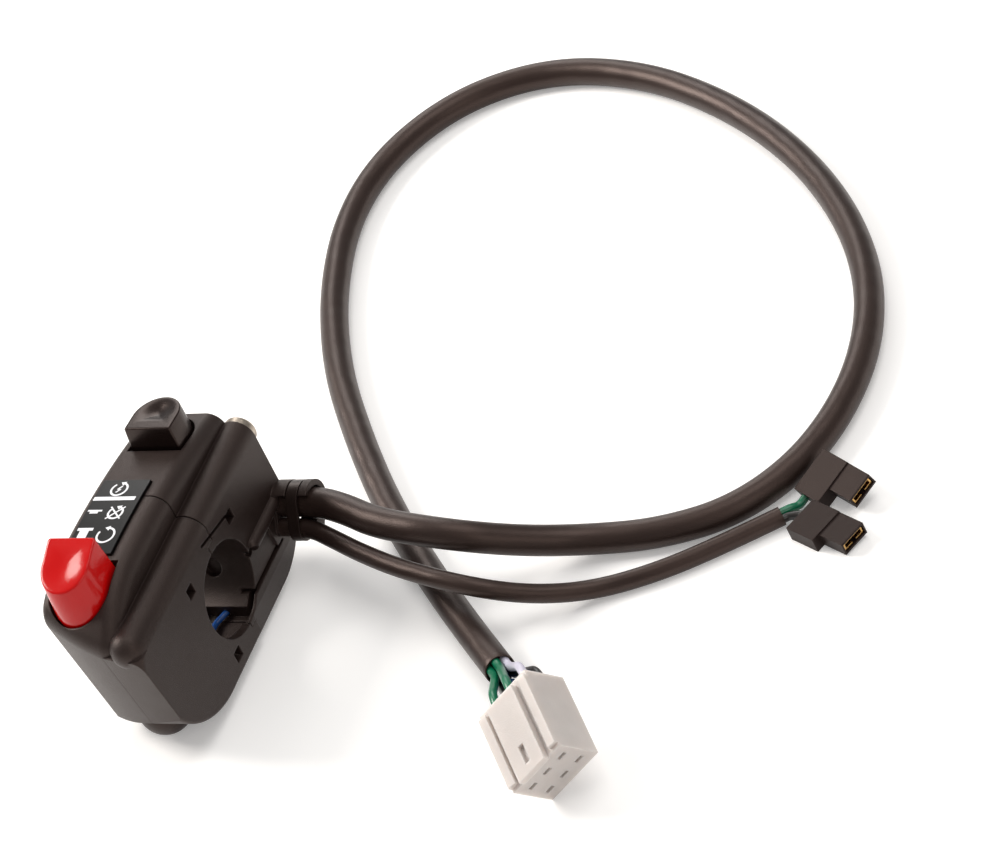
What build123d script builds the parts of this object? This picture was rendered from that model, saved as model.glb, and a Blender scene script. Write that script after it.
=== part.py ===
from build123d import *
import os
from math import atan2, cos, degrees, pi, radians, sin, sqrt, tan

# A handlebar switch cluster: two half shells clamp round the bar, a start button and a
# latching stop button stand on the panel, and two cables leave beside the bar.
# Frame: X runs along the bar towards the open end face, Y points from the stop button
# to the start button, Z comes up out of the panel. The origin is the middle of the bar bore.
# All lengths are in millimetres.

# The bar and the housing round it
bar_bore_radius = 11.1
body_width = 26.0
body_half = body_width / 2
upper_end_y = 32.0
lower_end_middle_inset = 2.6
lower_end_far_inset = 8.6
end_lean = 7.0
lean_level_z = 16.0
back_lower_z = -16.5
back_upper_z = -17.2
floor_z = -19.3

# The panel is a long shallow arc that turns down in a nose arc past the stop button
panel_radius = 206.0
panel_crown_y = -8.8
panel_crown_z = 27.2
nose_start_y = -16.0
nose_radius = 26.3
heel_top_inset = 1.4
heel_top_z = -2.1
heel_middle_y = -27.8
heel_middle_z = -12.4
heel_end_y = -13.5
upper_heel_start_y = 17.5
upper_heel_middle_y = 26.6
upper_heel_middle_z = -14.6
upper_heel_end_z = -6.5
nose_edge_radius = 5.0
far_edge_radius = 2.4

# The lower end lies where the nose arc has come down, and is swept back to the far side
nose_reach_share = 0.79087452
lower_end_near_y = nose_start_y - nose_reach_share * nose_radius
lower_end_middle_y = lower_end_near_y + lower_end_middle_inset
lower_end_far_y = lower_end_near_y + lower_end_far_inset
heel_top_y = lower_end_near_y + heel_top_inset

# The rounded shoulder beside the panel, and the screw ridge beyond it
shoulder_inset = 6.0
shoulder_x = body_half - shoulder_inset
panel_middle_x = (shoulder_x - body_half) / 2
panel_width = shoulder_x + body_half
shoulder_radius = 3.8
ridge_radius = 4.4
ridge_x = body_half - ridge_radius
ridge_z = 16.0
ridge_end_inset = 4.6
ridge_end_y = lower_end_near_y + ridge_end_inset
near_corner_radius = 2.0
near_low_radius = 0.9
near_block_width = 10.0
near_block_x = body_half - near_block_width
edge_nearness = 0.05

# The boss of the second screw, behind the bar
boss_radius = 6.3
boss_z = floor_z + boss_radius
boss_end_inset = 7.5
boss_end_y = lower_end_near_y + boss_end_inset
boss_head_y = 17.0

# Where the two shells part: the line steps past the bar, and a small gap lets them grip it
parting_y = 2.5
parting_step_top_z = 13.0
parting_step_low_z = -12.3
clamp_gap = 0.3

# Walls and hollows
panel_wall = 2.3
side_wall = 2.0
end_wall = 2.2
hollow_near_x = shoulder_x - side_wall
hollow_far_x = side_wall - body_half
hollow_half_width = (hollow_near_x - hollow_far_x) / 2
room_floor_z = 13.3
room_high_y = 29.8
wire_room_top_z = 10.3
wire_room_low_y = 13.6
wire_shaft_x = -3.1
wire_shaft_width = 9.0
wire_shaft_low_y, wire_shaft_high_y = 21.0, 27.4
wire_room_inset = 5.2
wire_room_near_x = body_half - wire_room_inset
wire_room_low_z = -6.5
wire_room_high_y = 28.4
well_floor_z = 0.0
well_front_y = -14.6

# Square locating recesses, the slot beside the ridge and the cable channel in the end face
square_side = 2.9
square_depth = 2.6
square_a_y, square_a_z = 11.2, 11.3
square_b_y, square_b_z = -11.7, 11.7
square_c_y, square_c_z = -8.3, -12.1
slot_low_y, slot_low_z = -1.9, 15.2
slot_high_y, slot_high_z = 10.2, 12.6
slot_width = 0.8
slot_depth = 1.0
channel_depth = 0.6
channel_low_z = -8.5
channel_start_y = 3.2
channel_high_y = 21.0
rib_z = 0.15
rib_radius = 1.6
rib_low_y = 13.4
channel_top_z = rib_z - rib_radius
rib_pit_radius = 1.2
rib_pit_depth = 1.4
rib_pit_y = 12.2
rib_pit_z = -0.6
shadow_slot_width = 0.7
shadow_slot_depth = 4.2
shadow_slot_low_y, shadow_slot_high_y = 5.0, 23.6
strip_bevel = 1.0
strip_bevel_top_z = -11.0
wire_pocket_inset = 2.2
wire_pocket_near_x = body_half - wire_pocket_inset
wire_pocket_far_x = -1.5
wire_pocket_floor_z = -13.4
wire_pocket_high_y = 4.2
wire_pocket_low_y = -7.0
rim_relief_inset = 0.7
rim_relief_near_x = body_half - rim_relief_inset
rim_relief_low_z = -12.4
rim_relief_high_y = 8.6
peg_hole_x = 2.1
peg_hole_radius = 2.3
peg_hole_turn = -20.6
peg_hole_depth = 1.2

# Clamp screws, pan heads, and the brass inserts that they bite in
screw_radius = 2.0
screw_clearance = 0.15
head_height = 2.5
head_edge_radius = 1.1
front_head_radius = 3.9
rear_head_radius = 3.4
rear_access_radius = 3.9
drive_radius = 1.8
drive_width = 0.8
drive_depth = 1.1
front_screw_end_y = -11.0
rear_screw_z = -15.0
rear_screw_end_y = -11.5
insert_radius = 2.9
insert_start_y = -2.0
insert_length = 9.0
hole_overrun = 1.5
insert_groove_width = 1.2
insert_groove_depth = 0.3
insert_groove_shares = (0.2, 0.6)

# Label plate
label_shift = -1.35
label_x = panel_middle_x + label_shift
label_width = 12.0
label_high_y = 7.3
label_low_y = -15.4
label_proud = 0.6
label_sunk = 0.5
label_clearance = 0.15

# Start button
start_shift = -0.1
start_x = panel_middle_x + start_shift
start_flat_y = 18.5
start_length = 11.6
start_land = 3.5
start_width = panel_width - 2 * start_land
start_top_flat_y = 19.3
start_top_length = 11.0
start_top_taper = 0.6
start_top_width = start_width - 2 * start_top_taper
start_top_flat_z = 31.0
start_top_round_z = 30.2
start_skirt_low_z = 20.2
start_skirt_high_z = 22.6
start_dish_radius = 12.1
start_dish_depth = 0.8
start_travel = 2.5
start_hollow_radius = 4.1
start_hollow_top_z = 26.2
start_dish_share = 0.5
start_wing_y = 22.5

# Stop button
stop_shift = -0.5
stop_x = panel_middle_x + stop_shift
stop_flat_y = -17.3
stop_length = 13.6
stop_land = 3.0
stop_width = panel_width - 2 * stop_land
stop_top_flat_y = -17.9
stop_top_length = 12.3
stop_top_taper = 1.0
stop_top_width = stop_width - 2 * stop_top_taper
stop_top_flat_z = 35.4
stop_top_round_z = 30.9
stop_skirt_low_z = 20.4
stop_skirt_high_z = 22.4
stop_dish_radius = 15.1
stop_dish_depth = 0.7
stop_travel = 4.0
stop_hollow_top_z = 26.0
stop_dish_share = 0.55
stop_wall = 1.6
stop_side_wing_y = -21.5

button_clearance = 0.5
wing_reach = 1.1
wing_height = 1.4
wing_length = 6.0

# Start switch: base plate, posts, spring and bridge
start_base_thickness = 1.8
start_base_margin = 0.3
start_base_low_y = 16.6
start_base_high_y = 29.4
start_post_radius = 1.6
start_post_height = 4.5
bridge_width = 1.5
bridge_thickness = 0.6
start_bridge_length = 9.2
start_bridge_y = 19.4
contact_gap_left = 0.15
start_base_top_z = room_floor_z + start_base_thickness
start_terminal_high_z = start_skirt_low_z - bridge_thickness - start_travel - contact_gap_left
terminal_side = 1.3
start_terminal_spacing = 7.4
start_spring_radius = 2.9
start_spring_turns = 5
spring_wire_radius = 0.35

# Stop switch: base with its cam barrel, plunger, rotor, spring and bridge
latch_y = -23.0
stop_base_thickness = 2.0
stop_base_margin = 0.3
stop_base_high_y = -15.0
barrel_outer_radius = 5.7
barrel_inner_radius = 4.9
barrel_high_z = 16.0
barrel_count = 4
barrel_rib_width = 1.0
barrel_rib_depth = 0.9
barrel_rib_low_z = 14.4
rotor_radius = 4.0
rotor_fin_reach = 0.7
rotor_fin_width = 1.1
rotor_low_z = 11.2
rotor_body_height = 1.8
tooth_height = 1.0
tooth_count = 8
tooth_gap = 0.3
plunger_radius = 4.3
flute_width = 1.8
stop_spring_radius = 3.2
stop_spring_turns = 5
rotor_turn = 45.0
stop_bridge_y = -16.5
stop_bridge_length = 7.6
stop_terminal_spacing = 5.6
stop_wing_z = 21.6
stop_terminal_high_z = stop_wing_z - bridge_thickness - stop_travel - contact_gap_left
barrel_rib_overlap = 0.4
flute_depth = 0.6
tooth_length = 2.6
tooth_width = 1.5
tooth_taper = 20.0

# Small screws that hold the two bases
base_screw_radius = 0.9
base_screw_head_radius = 1.5
base_screw_head_height = 0.9
base_screw_depth = 4.2
base_screw_slot = 0.5
start_base_screw_inset = 2.1
start_base_screw_reach = hollow_half_width - start_base_screw_inset
start_base_screw_y = 17.9
stop_base_screw_inset = 2.0
stop_base_screw_reach = hollow_half_width - stop_base_screw_inset
stop_base_screw_x = panel_middle_x
stop_base_screw_y = -17.3
start_base_screws = [
    (start_x - start_base_screw_reach, start_base_screw_y),
    (start_x + start_base_screw_reach, start_base_screw_y),
]
stop_base_screws = [
    (stop_base_screw_x - stop_base_screw_reach, stop_base_screw_y),
    (stop_base_screw_x + stop_base_screw_reach, stop_base_screw_y),
]

# Cable exit: grommet, tongue and tie
main_radius = 3.5
second_radius = 2.15
main_exit_y, main_exit_z = 29.2, -2.4
second_exit_y, second_exit_z = 24.8, -6.1
grommet_flange_thickness = 0.6
grommet_clearance = 0.15
grommet_neck_y_a, grommet_neck_z_a, grommet_neck_radius_a = 27.2, -2.8, 2.4
grommet_neck_y_b, grommet_neck_z_b, grommet_neck_radius_b = 24.4, -5.6, 1.9
trough_wall = 1.35
trough_length = 9.1
trough_low = 1.2
trough_groove_start = 3.6
trough_groove_width = 3.4
trough_groove_depth = 0.9
tie_x = body_half + trough_groove_start + trough_groove_width / 2
tie_width = 2.8
tie_thickness = 0.75
tie_slack = 0.3
tie_ring_slack = 0.1
tie_head_size = 4.2
tie_head_height = 3.6
tie_head_reach = 3.45

# Blue and green wires inside
inner_wire_radius = 0.7

# The two cables, as the points of their routes on the surface that the part lies on
cable_start_x = body_half + grommet_flange_thickness
main_route = [
    (cable_start_x, main_exit_y, main_exit_z), (22.0, main_exit_y, main_exit_z),
    (30.8, 26.2, -2.0), (41.0, 21.2, -1.7), (60.5, 17.6, -1.9), (73.0, 23.2, -9.8),
    (86.0, 29.0, -15.6), (101.5, 30.8, -15.8), (117.0, 37.0, -15.8), (128.2, 50.0, -15.8),
    (134.0, 67.5, -15.8), (134.8, 88.5, -15.8), (129.5, 111.0, -15.8), (117.5, 134.0, -15.8),
    (99.5, 156.5, -15.8), (76.0, 176.5, -15.8), (48.5, 191.8, -15.8), (20.5, 196.8, -15.8),
    (-2.5, 187.8, -15.8), (-16.2, 168.0, -15.8), (-19.4, 144.0, -15.8), (-13.0, 115.5, -15.8),
    (-1.0, 87.5, -15.8), (14.5, 63.0, -15.8), (32.0, 38.8, -15.8), (52.0, 16.2, -15.8),
    (66.5, 1.0, -15.5), (77.6, -10.4, -13.4),
]
second_route = [
    (cable_start_x, second_exit_y, second_exit_z), (20.2, second_exit_y, second_exit_z),
    (28.6, 20.5, -5.8), (38.0, 15.6, -5.5), (50.0, 10.6, -5.4), (67.0, 6.0, -5.8),
    (78.5, 9.2, -12.0), (90.0, 14.8, -16.9), (104.0, 20.6, -17.15), (117.0, 28.8, -17.15),
    (128.2, 37.0, -17.15),
]

# Six-way connector: a core, a raised panel with a window, and a rail on each side of it
plug_heading = -54.1
plug_pitch = 15.0
plug_roll = 54.4
plug_tail_x, plug_tail_y = 91.1, -26.3
plug_length = 20.0
plug_width = 15.6
plug_depth = 12.6
plug_panel_width = 8.4
plug_panel_height = 1.6
plug_window_width = 1.5
plug_window_length = 4.4
plug_window_from_nose = 1.6
plug_window_depth = 1.0
rail_width = 2.2
rail_height = 1.0
plug_set_back = 1.3
plug_panel_reach = 0.6
rail_shortfall = 0.8
plug_nose_wall = 1.2
plug_slot_width = 0.9
plug_slot_length = 2.2
cavity_side = 3.6
cavity_depth = 13.0
cavity_rows_x = (-1.6, 3.2)
cavity_columns_y = (-4.9, 0, 4.9)
plug_contact_side = 2.6
plug_contact_wall = 0.4
plug_contact_length = 8.0
plug_contact_set_back = 2.0

# The six leads between the sleeve and the connector, in the order of the cavities
lead_radius = 0.95
lead_straight = 4.0
lead_names = ("green", "green_tracer", "white", "black", "blue", "black_tracer")
lead_ring = ((-1.9, 0.95), (-0.15, 2.15), (1.75, 1.2), (-1.9, -1.1), (0, -2.1), (1.9, -0.95))

# Single blade connectors: a wide rear block and a narrower front with a mouth
blade_front_width = 7.0
blade_a_rear_width = 10.8
blade_b_rear_width = 9.0
blade_thickness = 3.8
blade_front_thickness = 3.2
blade_rear_length = 8.0
blade_length = 14.8
blade_cavity_width = 6.2
blade_cavity_height = 2.2
blade_cavity_depth = 7.9
blade_terminal_width = 5.8
blade_terminal_height = 1.9
blade_terminal_wall = 0.4
blade_terminal_length = 7.0
blade_terminal_slit = 1.2
blade_terminal_set_back = 0.4
blade_lead_radius = 0.95
blade_lead_offset = 1.1
blade_lead_straight = 2.4
blade_side_lead_z = 2.5
blade_side_lead_depth = 1.0
blade_a_point = (133.75, 49.85, -14.9)
blade_a_heading = -33.0
blade_a_roll = 19.0
blade_b_point = (133.75, 36.7, -17.0)
blade_b_heading = -28.0
blade_b_roll = 4.0

# Bends: a share of the shorter run over the tangent of half the turn, and a top value
bend_share = 0.45
cord_bend_limit = 60.0
lead_bend_limit = 7.0
wire_bend_limit = 2.2

# Points of the two wires inside the housing
start_wire_route = [(7.8, 27.0, -3.0), (3.4, 27.0, -3.0), (-3.0, 24.4, 3.0), (-3.1, 24.3, 13.3)]
stop_wire_route = [
    (7.8, 24.6, -5.0), (5.4, 24.6, -5.0), (5.2, 15.6, -4.9), (5.0, 5.6, -12.3), (3.1, 1.0, -12.4),
    (3.4, -7.6, -11.8), (0.6, -18.5, -6.0), (0.6, -18.5, 0),
]
wire_hole_clearance = 0.25


def panel_z(y):
    """Height of the panel at y, on the long arc or, past its end, on the nose arc."""
    if y >= nose_start_y:
        return panel_crown_z - panel_radius + sqrt(panel_radius**2 - (y - panel_crown_y) ** 2)
    lean = (nose_start_y - panel_crown_y) / panel_radius
    upright = sqrt(1 - lean**2)
    centre_y = nose_start_y - nose_radius * lean
    centre_z = panel_z(nose_start_y) - nose_radius * upright
    return centre_z + sqrt(max(nose_radius**2 - (y - centre_y) ** 2, 0))


def side_profile():
    """The closed side view of the housing, drawn with Y to the right and Z up."""
    nose_end_y = lower_end_near_y
    nose_middle_y = (nose_start_y + nose_end_y) / 2
    panel_middle_y = (upper_end_y + nose_start_y) / 2
    with BuildSketch() as profile:
        with BuildLine():
            ThreePointArc(
                (upper_end_y, panel_z(upper_end_y)),
                (panel_middle_y, panel_z(panel_middle_y)),
                (nose_start_y, panel_z(nose_start_y)),
            )
            ThreePointArc(
                (nose_start_y, panel_z(nose_start_y)),
                (nose_middle_y, panel_z(nose_middle_y)),
                (nose_end_y, panel_z(nose_end_y)),
            )
            Line((nose_end_y, panel_z(nose_end_y)), (heel_top_y, heel_top_z))
            ThreePointArc(
                (heel_top_y, heel_top_z), (heel_middle_y, heel_middle_z), (heel_end_y, back_lower_z)
            )
            Polyline(
                (heel_end_y, back_lower_z),
                (parting_y, back_lower_z),
                (parting_y, back_upper_z),
                (upper_heel_start_y, back_upper_z),
            )
            ThreePointArc(
                (upper_heel_start_y, back_upper_z),
                (upper_heel_middle_y, upper_heel_middle_z),
                (upper_end_y, upper_heel_end_z),
            )
            Line((upper_end_y, upper_heel_end_z), (upper_end_y, panel_z(upper_end_y)))
        make_face()
    return profile.sketch


def plan_profile(inset, far_x, near_x):
    """The closed plan of the housing: square upper end, lower end swept back to the far side."""
    with BuildSketch() as profile:
        with BuildLine():
            ThreePointArc(
                (body_half, lower_end_near_y + inset),
                (0, lower_end_middle_y + inset),
                (-body_half, lower_end_far_y + inset),
            )
            Polyline(
                (-body_half, lower_end_far_y + inset),
                (-body_half, upper_end_y - inset),
                (body_half, upper_end_y - inset),
                (body_half, lower_end_near_y + inset),
            )
        make_face()
        with Locations(((far_x + near_x) / 2, 0)):
            Rectangle(near_x - far_x, 2 * (upper_end_y - lower_end_near_y), mode=Mode.INTERSECT)
    return profile.sketch


plan_low_z = floor_z
plan_high_z = panel_crown_z + panel_wall
plan_shift = (lean_level_z - plan_low_z) * tan(radians(end_lean))
lean_direction = (0, -sin(radians(end_lean)), cos(radians(end_lean)))
lean_length = (plan_high_z - plan_low_z) / cos(radians(end_lean))
plan_plane = Plane((0, plan_shift, plan_low_z))


def leaned_plan(inset, far_x, near_x):
    """The plan of the housing with room at its square end for the lean to be swept through."""
    with BuildSketch() as profile:
        add(plan_profile(inset, far_x, near_x))
        with Locations(((far_x + near_x) / 2, upper_end_y)):
            Rectangle(near_x - far_x, 2 * plan_shift)
    return profile.sketch


def dee(width, length, flat_y, way):
    """A plan with a flat side at flat_y and a half round end on the side that way points to."""
    straight = length - width / 2
    with BuildSketch() as outline:
        with BuildLine():
            Polyline(
                (-width / 2, flat_y + way * straight),
                (-width / 2, flat_y),
                (width / 2, flat_y),
                (width / 2, flat_y + way * straight),
            )
            ThreePointArc(
                (width / 2, flat_y + way * straight),
                (0, flat_y + way * length),
                (-width / 2, flat_y + way * straight),
            )
        make_face()
    return outline.sketch


def circle_hull(circles):
    """The outline of a belt pulled round circles given as (y, z, radius)."""
    with BuildSketch() as outline:
        for centre_y, centre_z, radius in circles:
            with Locations((centre_y, centre_z)):
                Circle(radius)
        make_hull()
    return outline.sketch


def shell_region(gap, way):
    """The side view of all that belongs to the shell that way points to, past half the gap."""
    low_z, high_z = 2 * floor_z, 2 * panel_crown_z
    edge = way * gap / 2
    with BuildSketch() as region:
        with BuildLine():
            Polyline(
                (parting_y + edge, high_z),
                (parting_y + edge, parting_step_top_z),
                (edge, parting_step_top_z),
                (edge, parting_step_low_z),
                (parting_y + edge, parting_step_low_z),
                (parting_y + edge, low_z),
                (2 * way * upper_end_y, low_z),
                (2 * way * upper_end_y, high_z),
                close=True,
            )
        make_face()
    return region.sketch


def bend_radii(points, limit):
    """A radius for each inner point of a route, tied to its turn and its shorter run."""
    radii = []
    for before, here, after in zip(points, points[1:], points[2:]):
        run_in = Vector(*here) - Vector(*before)
        run_out = Vector(*after) - Vector(*here)
        half_turn = radians(run_in.get_angle(run_out)) / 2
        shorter = min(run_in.length, run_out.length)
        radii.append(min(bend_share * shorter / tan(half_turn), limit))
    return radii


def tube(points, limit, radius):
    """A round cable along a route of straight runs and bends."""
    with BuildPart() as cable:
        with BuildLine() as route:
            FilletPolyline(*points, radius=bend_radii(points, limit))
        with BuildSketch(Plane(origin=points[0], z_dir=Vector(*points[1]) - Vector(*points[0]))):
            Circle(radius)
        sweep(path=route.line)
    return cable.part


def report_cable(name, points, limit, radius, piece):
    """Print how long a cable is, its bends, and how its volume compares with its section."""
    with BuildLine() as route:
        FilletPolyline(*points, radius=bend_radii(points, limit))
    length = sum(edge.length for edge in route.edges())
    share = piece.volume / (length * pi * radius**2)
    print(name, "length", round(length, 1), "volume share", round(share, 4))
    print("  bends", [round(bend, 1) for bend in bend_radii(points, limit)])


# The panel side of the housing, as wide as the shoulder, with its rounded edges
with BuildPart() as panel_block:
    with BuildSketch(Plane.YZ.offset(-body_half)):
        add(side_profile())
    extrude(amount=body_half + shoulder_x)
    with BuildSketch(plan_plane):
        add(leaned_plan(0, -body_half, body_half))
    extrude(amount=lean_length, dir=lean_direction, mode=Mode.INTERSECT)
    end_edges = panel_block.edges().filter_by(lambda e: e.center().Y < lower_end_far_y)
    nose_edge = end_edges.filter_by(lambda e: e.length > body_half).sort_by(Axis.Z)[-1]
    fillet(nose_edge, radius=nose_edge_radius)
    shoulder_face = panel_block.faces().sort_by(Axis.X)[-1]
    shoulder_edges = shoulder_face.edges().filter_by(lambda e: e.center().Z > ridge_z + shoulder_radius)
    fillet(shoulder_edges, radius=shoulder_radius)
    far_face = panel_block.faces().sort_by(Axis.X)[0]
    far_edges = far_face.edges().filter_by(lambda e: e.center().Z > lean_level_z)
    far_edges = far_edges.filter_by(lambda e: e.center().Y < upper_end_y - edge_nearness)
    fillet(far_edges, radius=far_edge_radius)

# The side beside the bar, up to the middle of the ridge, with its soft lower corner
with BuildPart() as near_block:
    with BuildSketch(Plane.YZ.offset(near_block_x)):
        add(side_profile())
    extrude(amount=body_half - near_block_x)
    split(bisect_by=Plane.XY.offset(ridge_z), keep=Keep.BOTTOM)
    with BuildSketch(plan_plane):
        add(leaned_plan(0, near_block_x, body_half))
    extrude(amount=lean_length, dir=lean_direction, mode=Mode.INTERSECT)
    near_face = near_block.faces().sort_by(Axis.X)[-1]
    low_edges = near_face.edges().filter_by(lambda e: e.center().Z < heel_top_z)
    fillet(low_edges.filter_by(lambda e: e.center().Y < 0), radius=near_low_radius)
    near_face = near_block.faces().sort_by(Axis.X)[-1]
    corner = near_face.edges().sort_by(Axis.Y)[0]
    fillet(corner, radius=near_corner_radius)

# The whole outside of the housing
with BuildPart() as housing_form:
    add(panel_block.part)
    add(near_block.part)
    with BuildSketch(Plane.XZ.offset(-upper_end_y)):
        with Locations((ridge_x, ridge_z)):
            Circle(ridge_radius)
    extrude(amount=upper_end_y - ridge_end_y)
    with Locations((ridge_x, ridge_end_y, ridge_z)):
        Sphere(ridge_radius)
    with BuildSketch(Plane.XZ.offset(-boss_head_y)):
        with Locations((0, boss_z)):
            Circle(boss_radius)
    extrude(amount=boss_head_y - boss_end_y - boss_radius)
    with Locations((0, boss_end_y + boss_radius, boss_z)):
        Sphere(boss_radius)


# The hollows: the switch room with the deep well, the wire room and the shaft between them
with BuildPart() as rooms:
    with BuildSketch(Plane.YZ.offset(hollow_far_x)):
        with BuildLine():
            ThreePointArc(
                (room_high_y, panel_z(room_high_y) - panel_wall),
                (panel_crown_y, panel_crown_z - panel_wall),
                (nose_start_y, panel_z(nose_start_y) - panel_wall),
            )
            ThreePointArc(
                (nose_start_y, panel_z(nose_start_y) - panel_wall),
                (stop_flat_y + nose_start_y / 2, panel_z(stop_flat_y + nose_start_y / 2) - panel_wall),
                (lower_end_middle_y, panel_z(lower_end_middle_y) - panel_wall),
            )
            Polyline(
                (lower_end_middle_y, panel_z(lower_end_middle_y) - panel_wall),
                (lower_end_middle_y, well_floor_z),
                (well_front_y, well_floor_z),
                (well_front_y, room_floor_z),
                (room_high_y, room_floor_z),
                (room_high_y, panel_z(room_high_y) - panel_wall),
            )
        make_face()
    extrude(amount=hollow_near_x - hollow_far_x)
    with BuildSketch(plan_plane):
        add(leaned_plan(end_wall, hollow_far_x, hollow_near_x))
    extrude(amount=lean_length, dir=lean_direction, mode=Mode.INTERSECT)

wire_room_middle_y = (wire_room_low_y + wire_room_high_y) / 2
with BuildPart() as wire_room:
    with BuildSketch(Plane.XY.offset(wire_room_low_z)):
        with Locations(((hollow_far_x + wire_room_near_x) / 2, wire_room_middle_y)):
            Rectangle(wire_room_near_x - hollow_far_x, wire_room_high_y - wire_room_low_y)
    extrude(amount=wire_room_top_z - wire_room_low_z)
    with BuildSketch(Plane.XY.offset(wire_room_top_z)):
        with Locations((wire_shaft_x, (wire_shaft_low_y + wire_shaft_high_y) / 2)):
            Rectangle(wire_shaft_width, wire_shaft_high_y - wire_shaft_low_y)
    extrude(amount=room_floor_z - wire_room_top_z)

# The two inside wires, and the fatter tubes that their ways through the walls are cut with
start_wire = tube(start_wire_route, wire_bend_limit, inner_wire_radius)
stop_wire = tube(stop_wire_route, wire_bend_limit, inner_wire_radius)
stop_wire_way = tube(stop_wire_route, wire_bend_limit, inner_wire_radius + wire_hole_clearance)

grommet_neck = (
    (grommet_neck_y_a, grommet_neck_z_a, grommet_neck_radius_a),
    (grommet_neck_y_b, grommet_neck_z_b, grommet_neck_radius_b),
)
grommet_flange = (
    (main_exit_y, main_exit_z, main_radius),
    (second_exit_y, second_exit_z, second_radius),
)
grommet_room = [(y, z, radius + grommet_clearance) for y, z, radius in grommet_flange]
trough_inner_radius = main_radius + grommet_clearance
trough_outer_radius = trough_inner_radius + trough_wall
trough_groove_radius = trough_outer_radius - trough_groove_depth
trough_side = 4 * trough_outer_radius


def trough_section(outer_radius):
    """The part of a disc round the main cable that lies above it and behind it."""
    with BuildSketch() as section:
        with Locations((main_exit_y, main_exit_z)):
            Circle(outer_radius)
        drop = (trough_side / 2 - trough_low) / sqrt(2)
        with Locations((main_exit_y - drop, main_exit_z - drop)):
            Rectangle(trough_side, trough_side, rotation=45, mode=Mode.SUBTRACT)
    return section.sketch


start_middle_y = start_flat_y + start_length / 2
screw_hole_radius = screw_radius + screw_clearance

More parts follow.
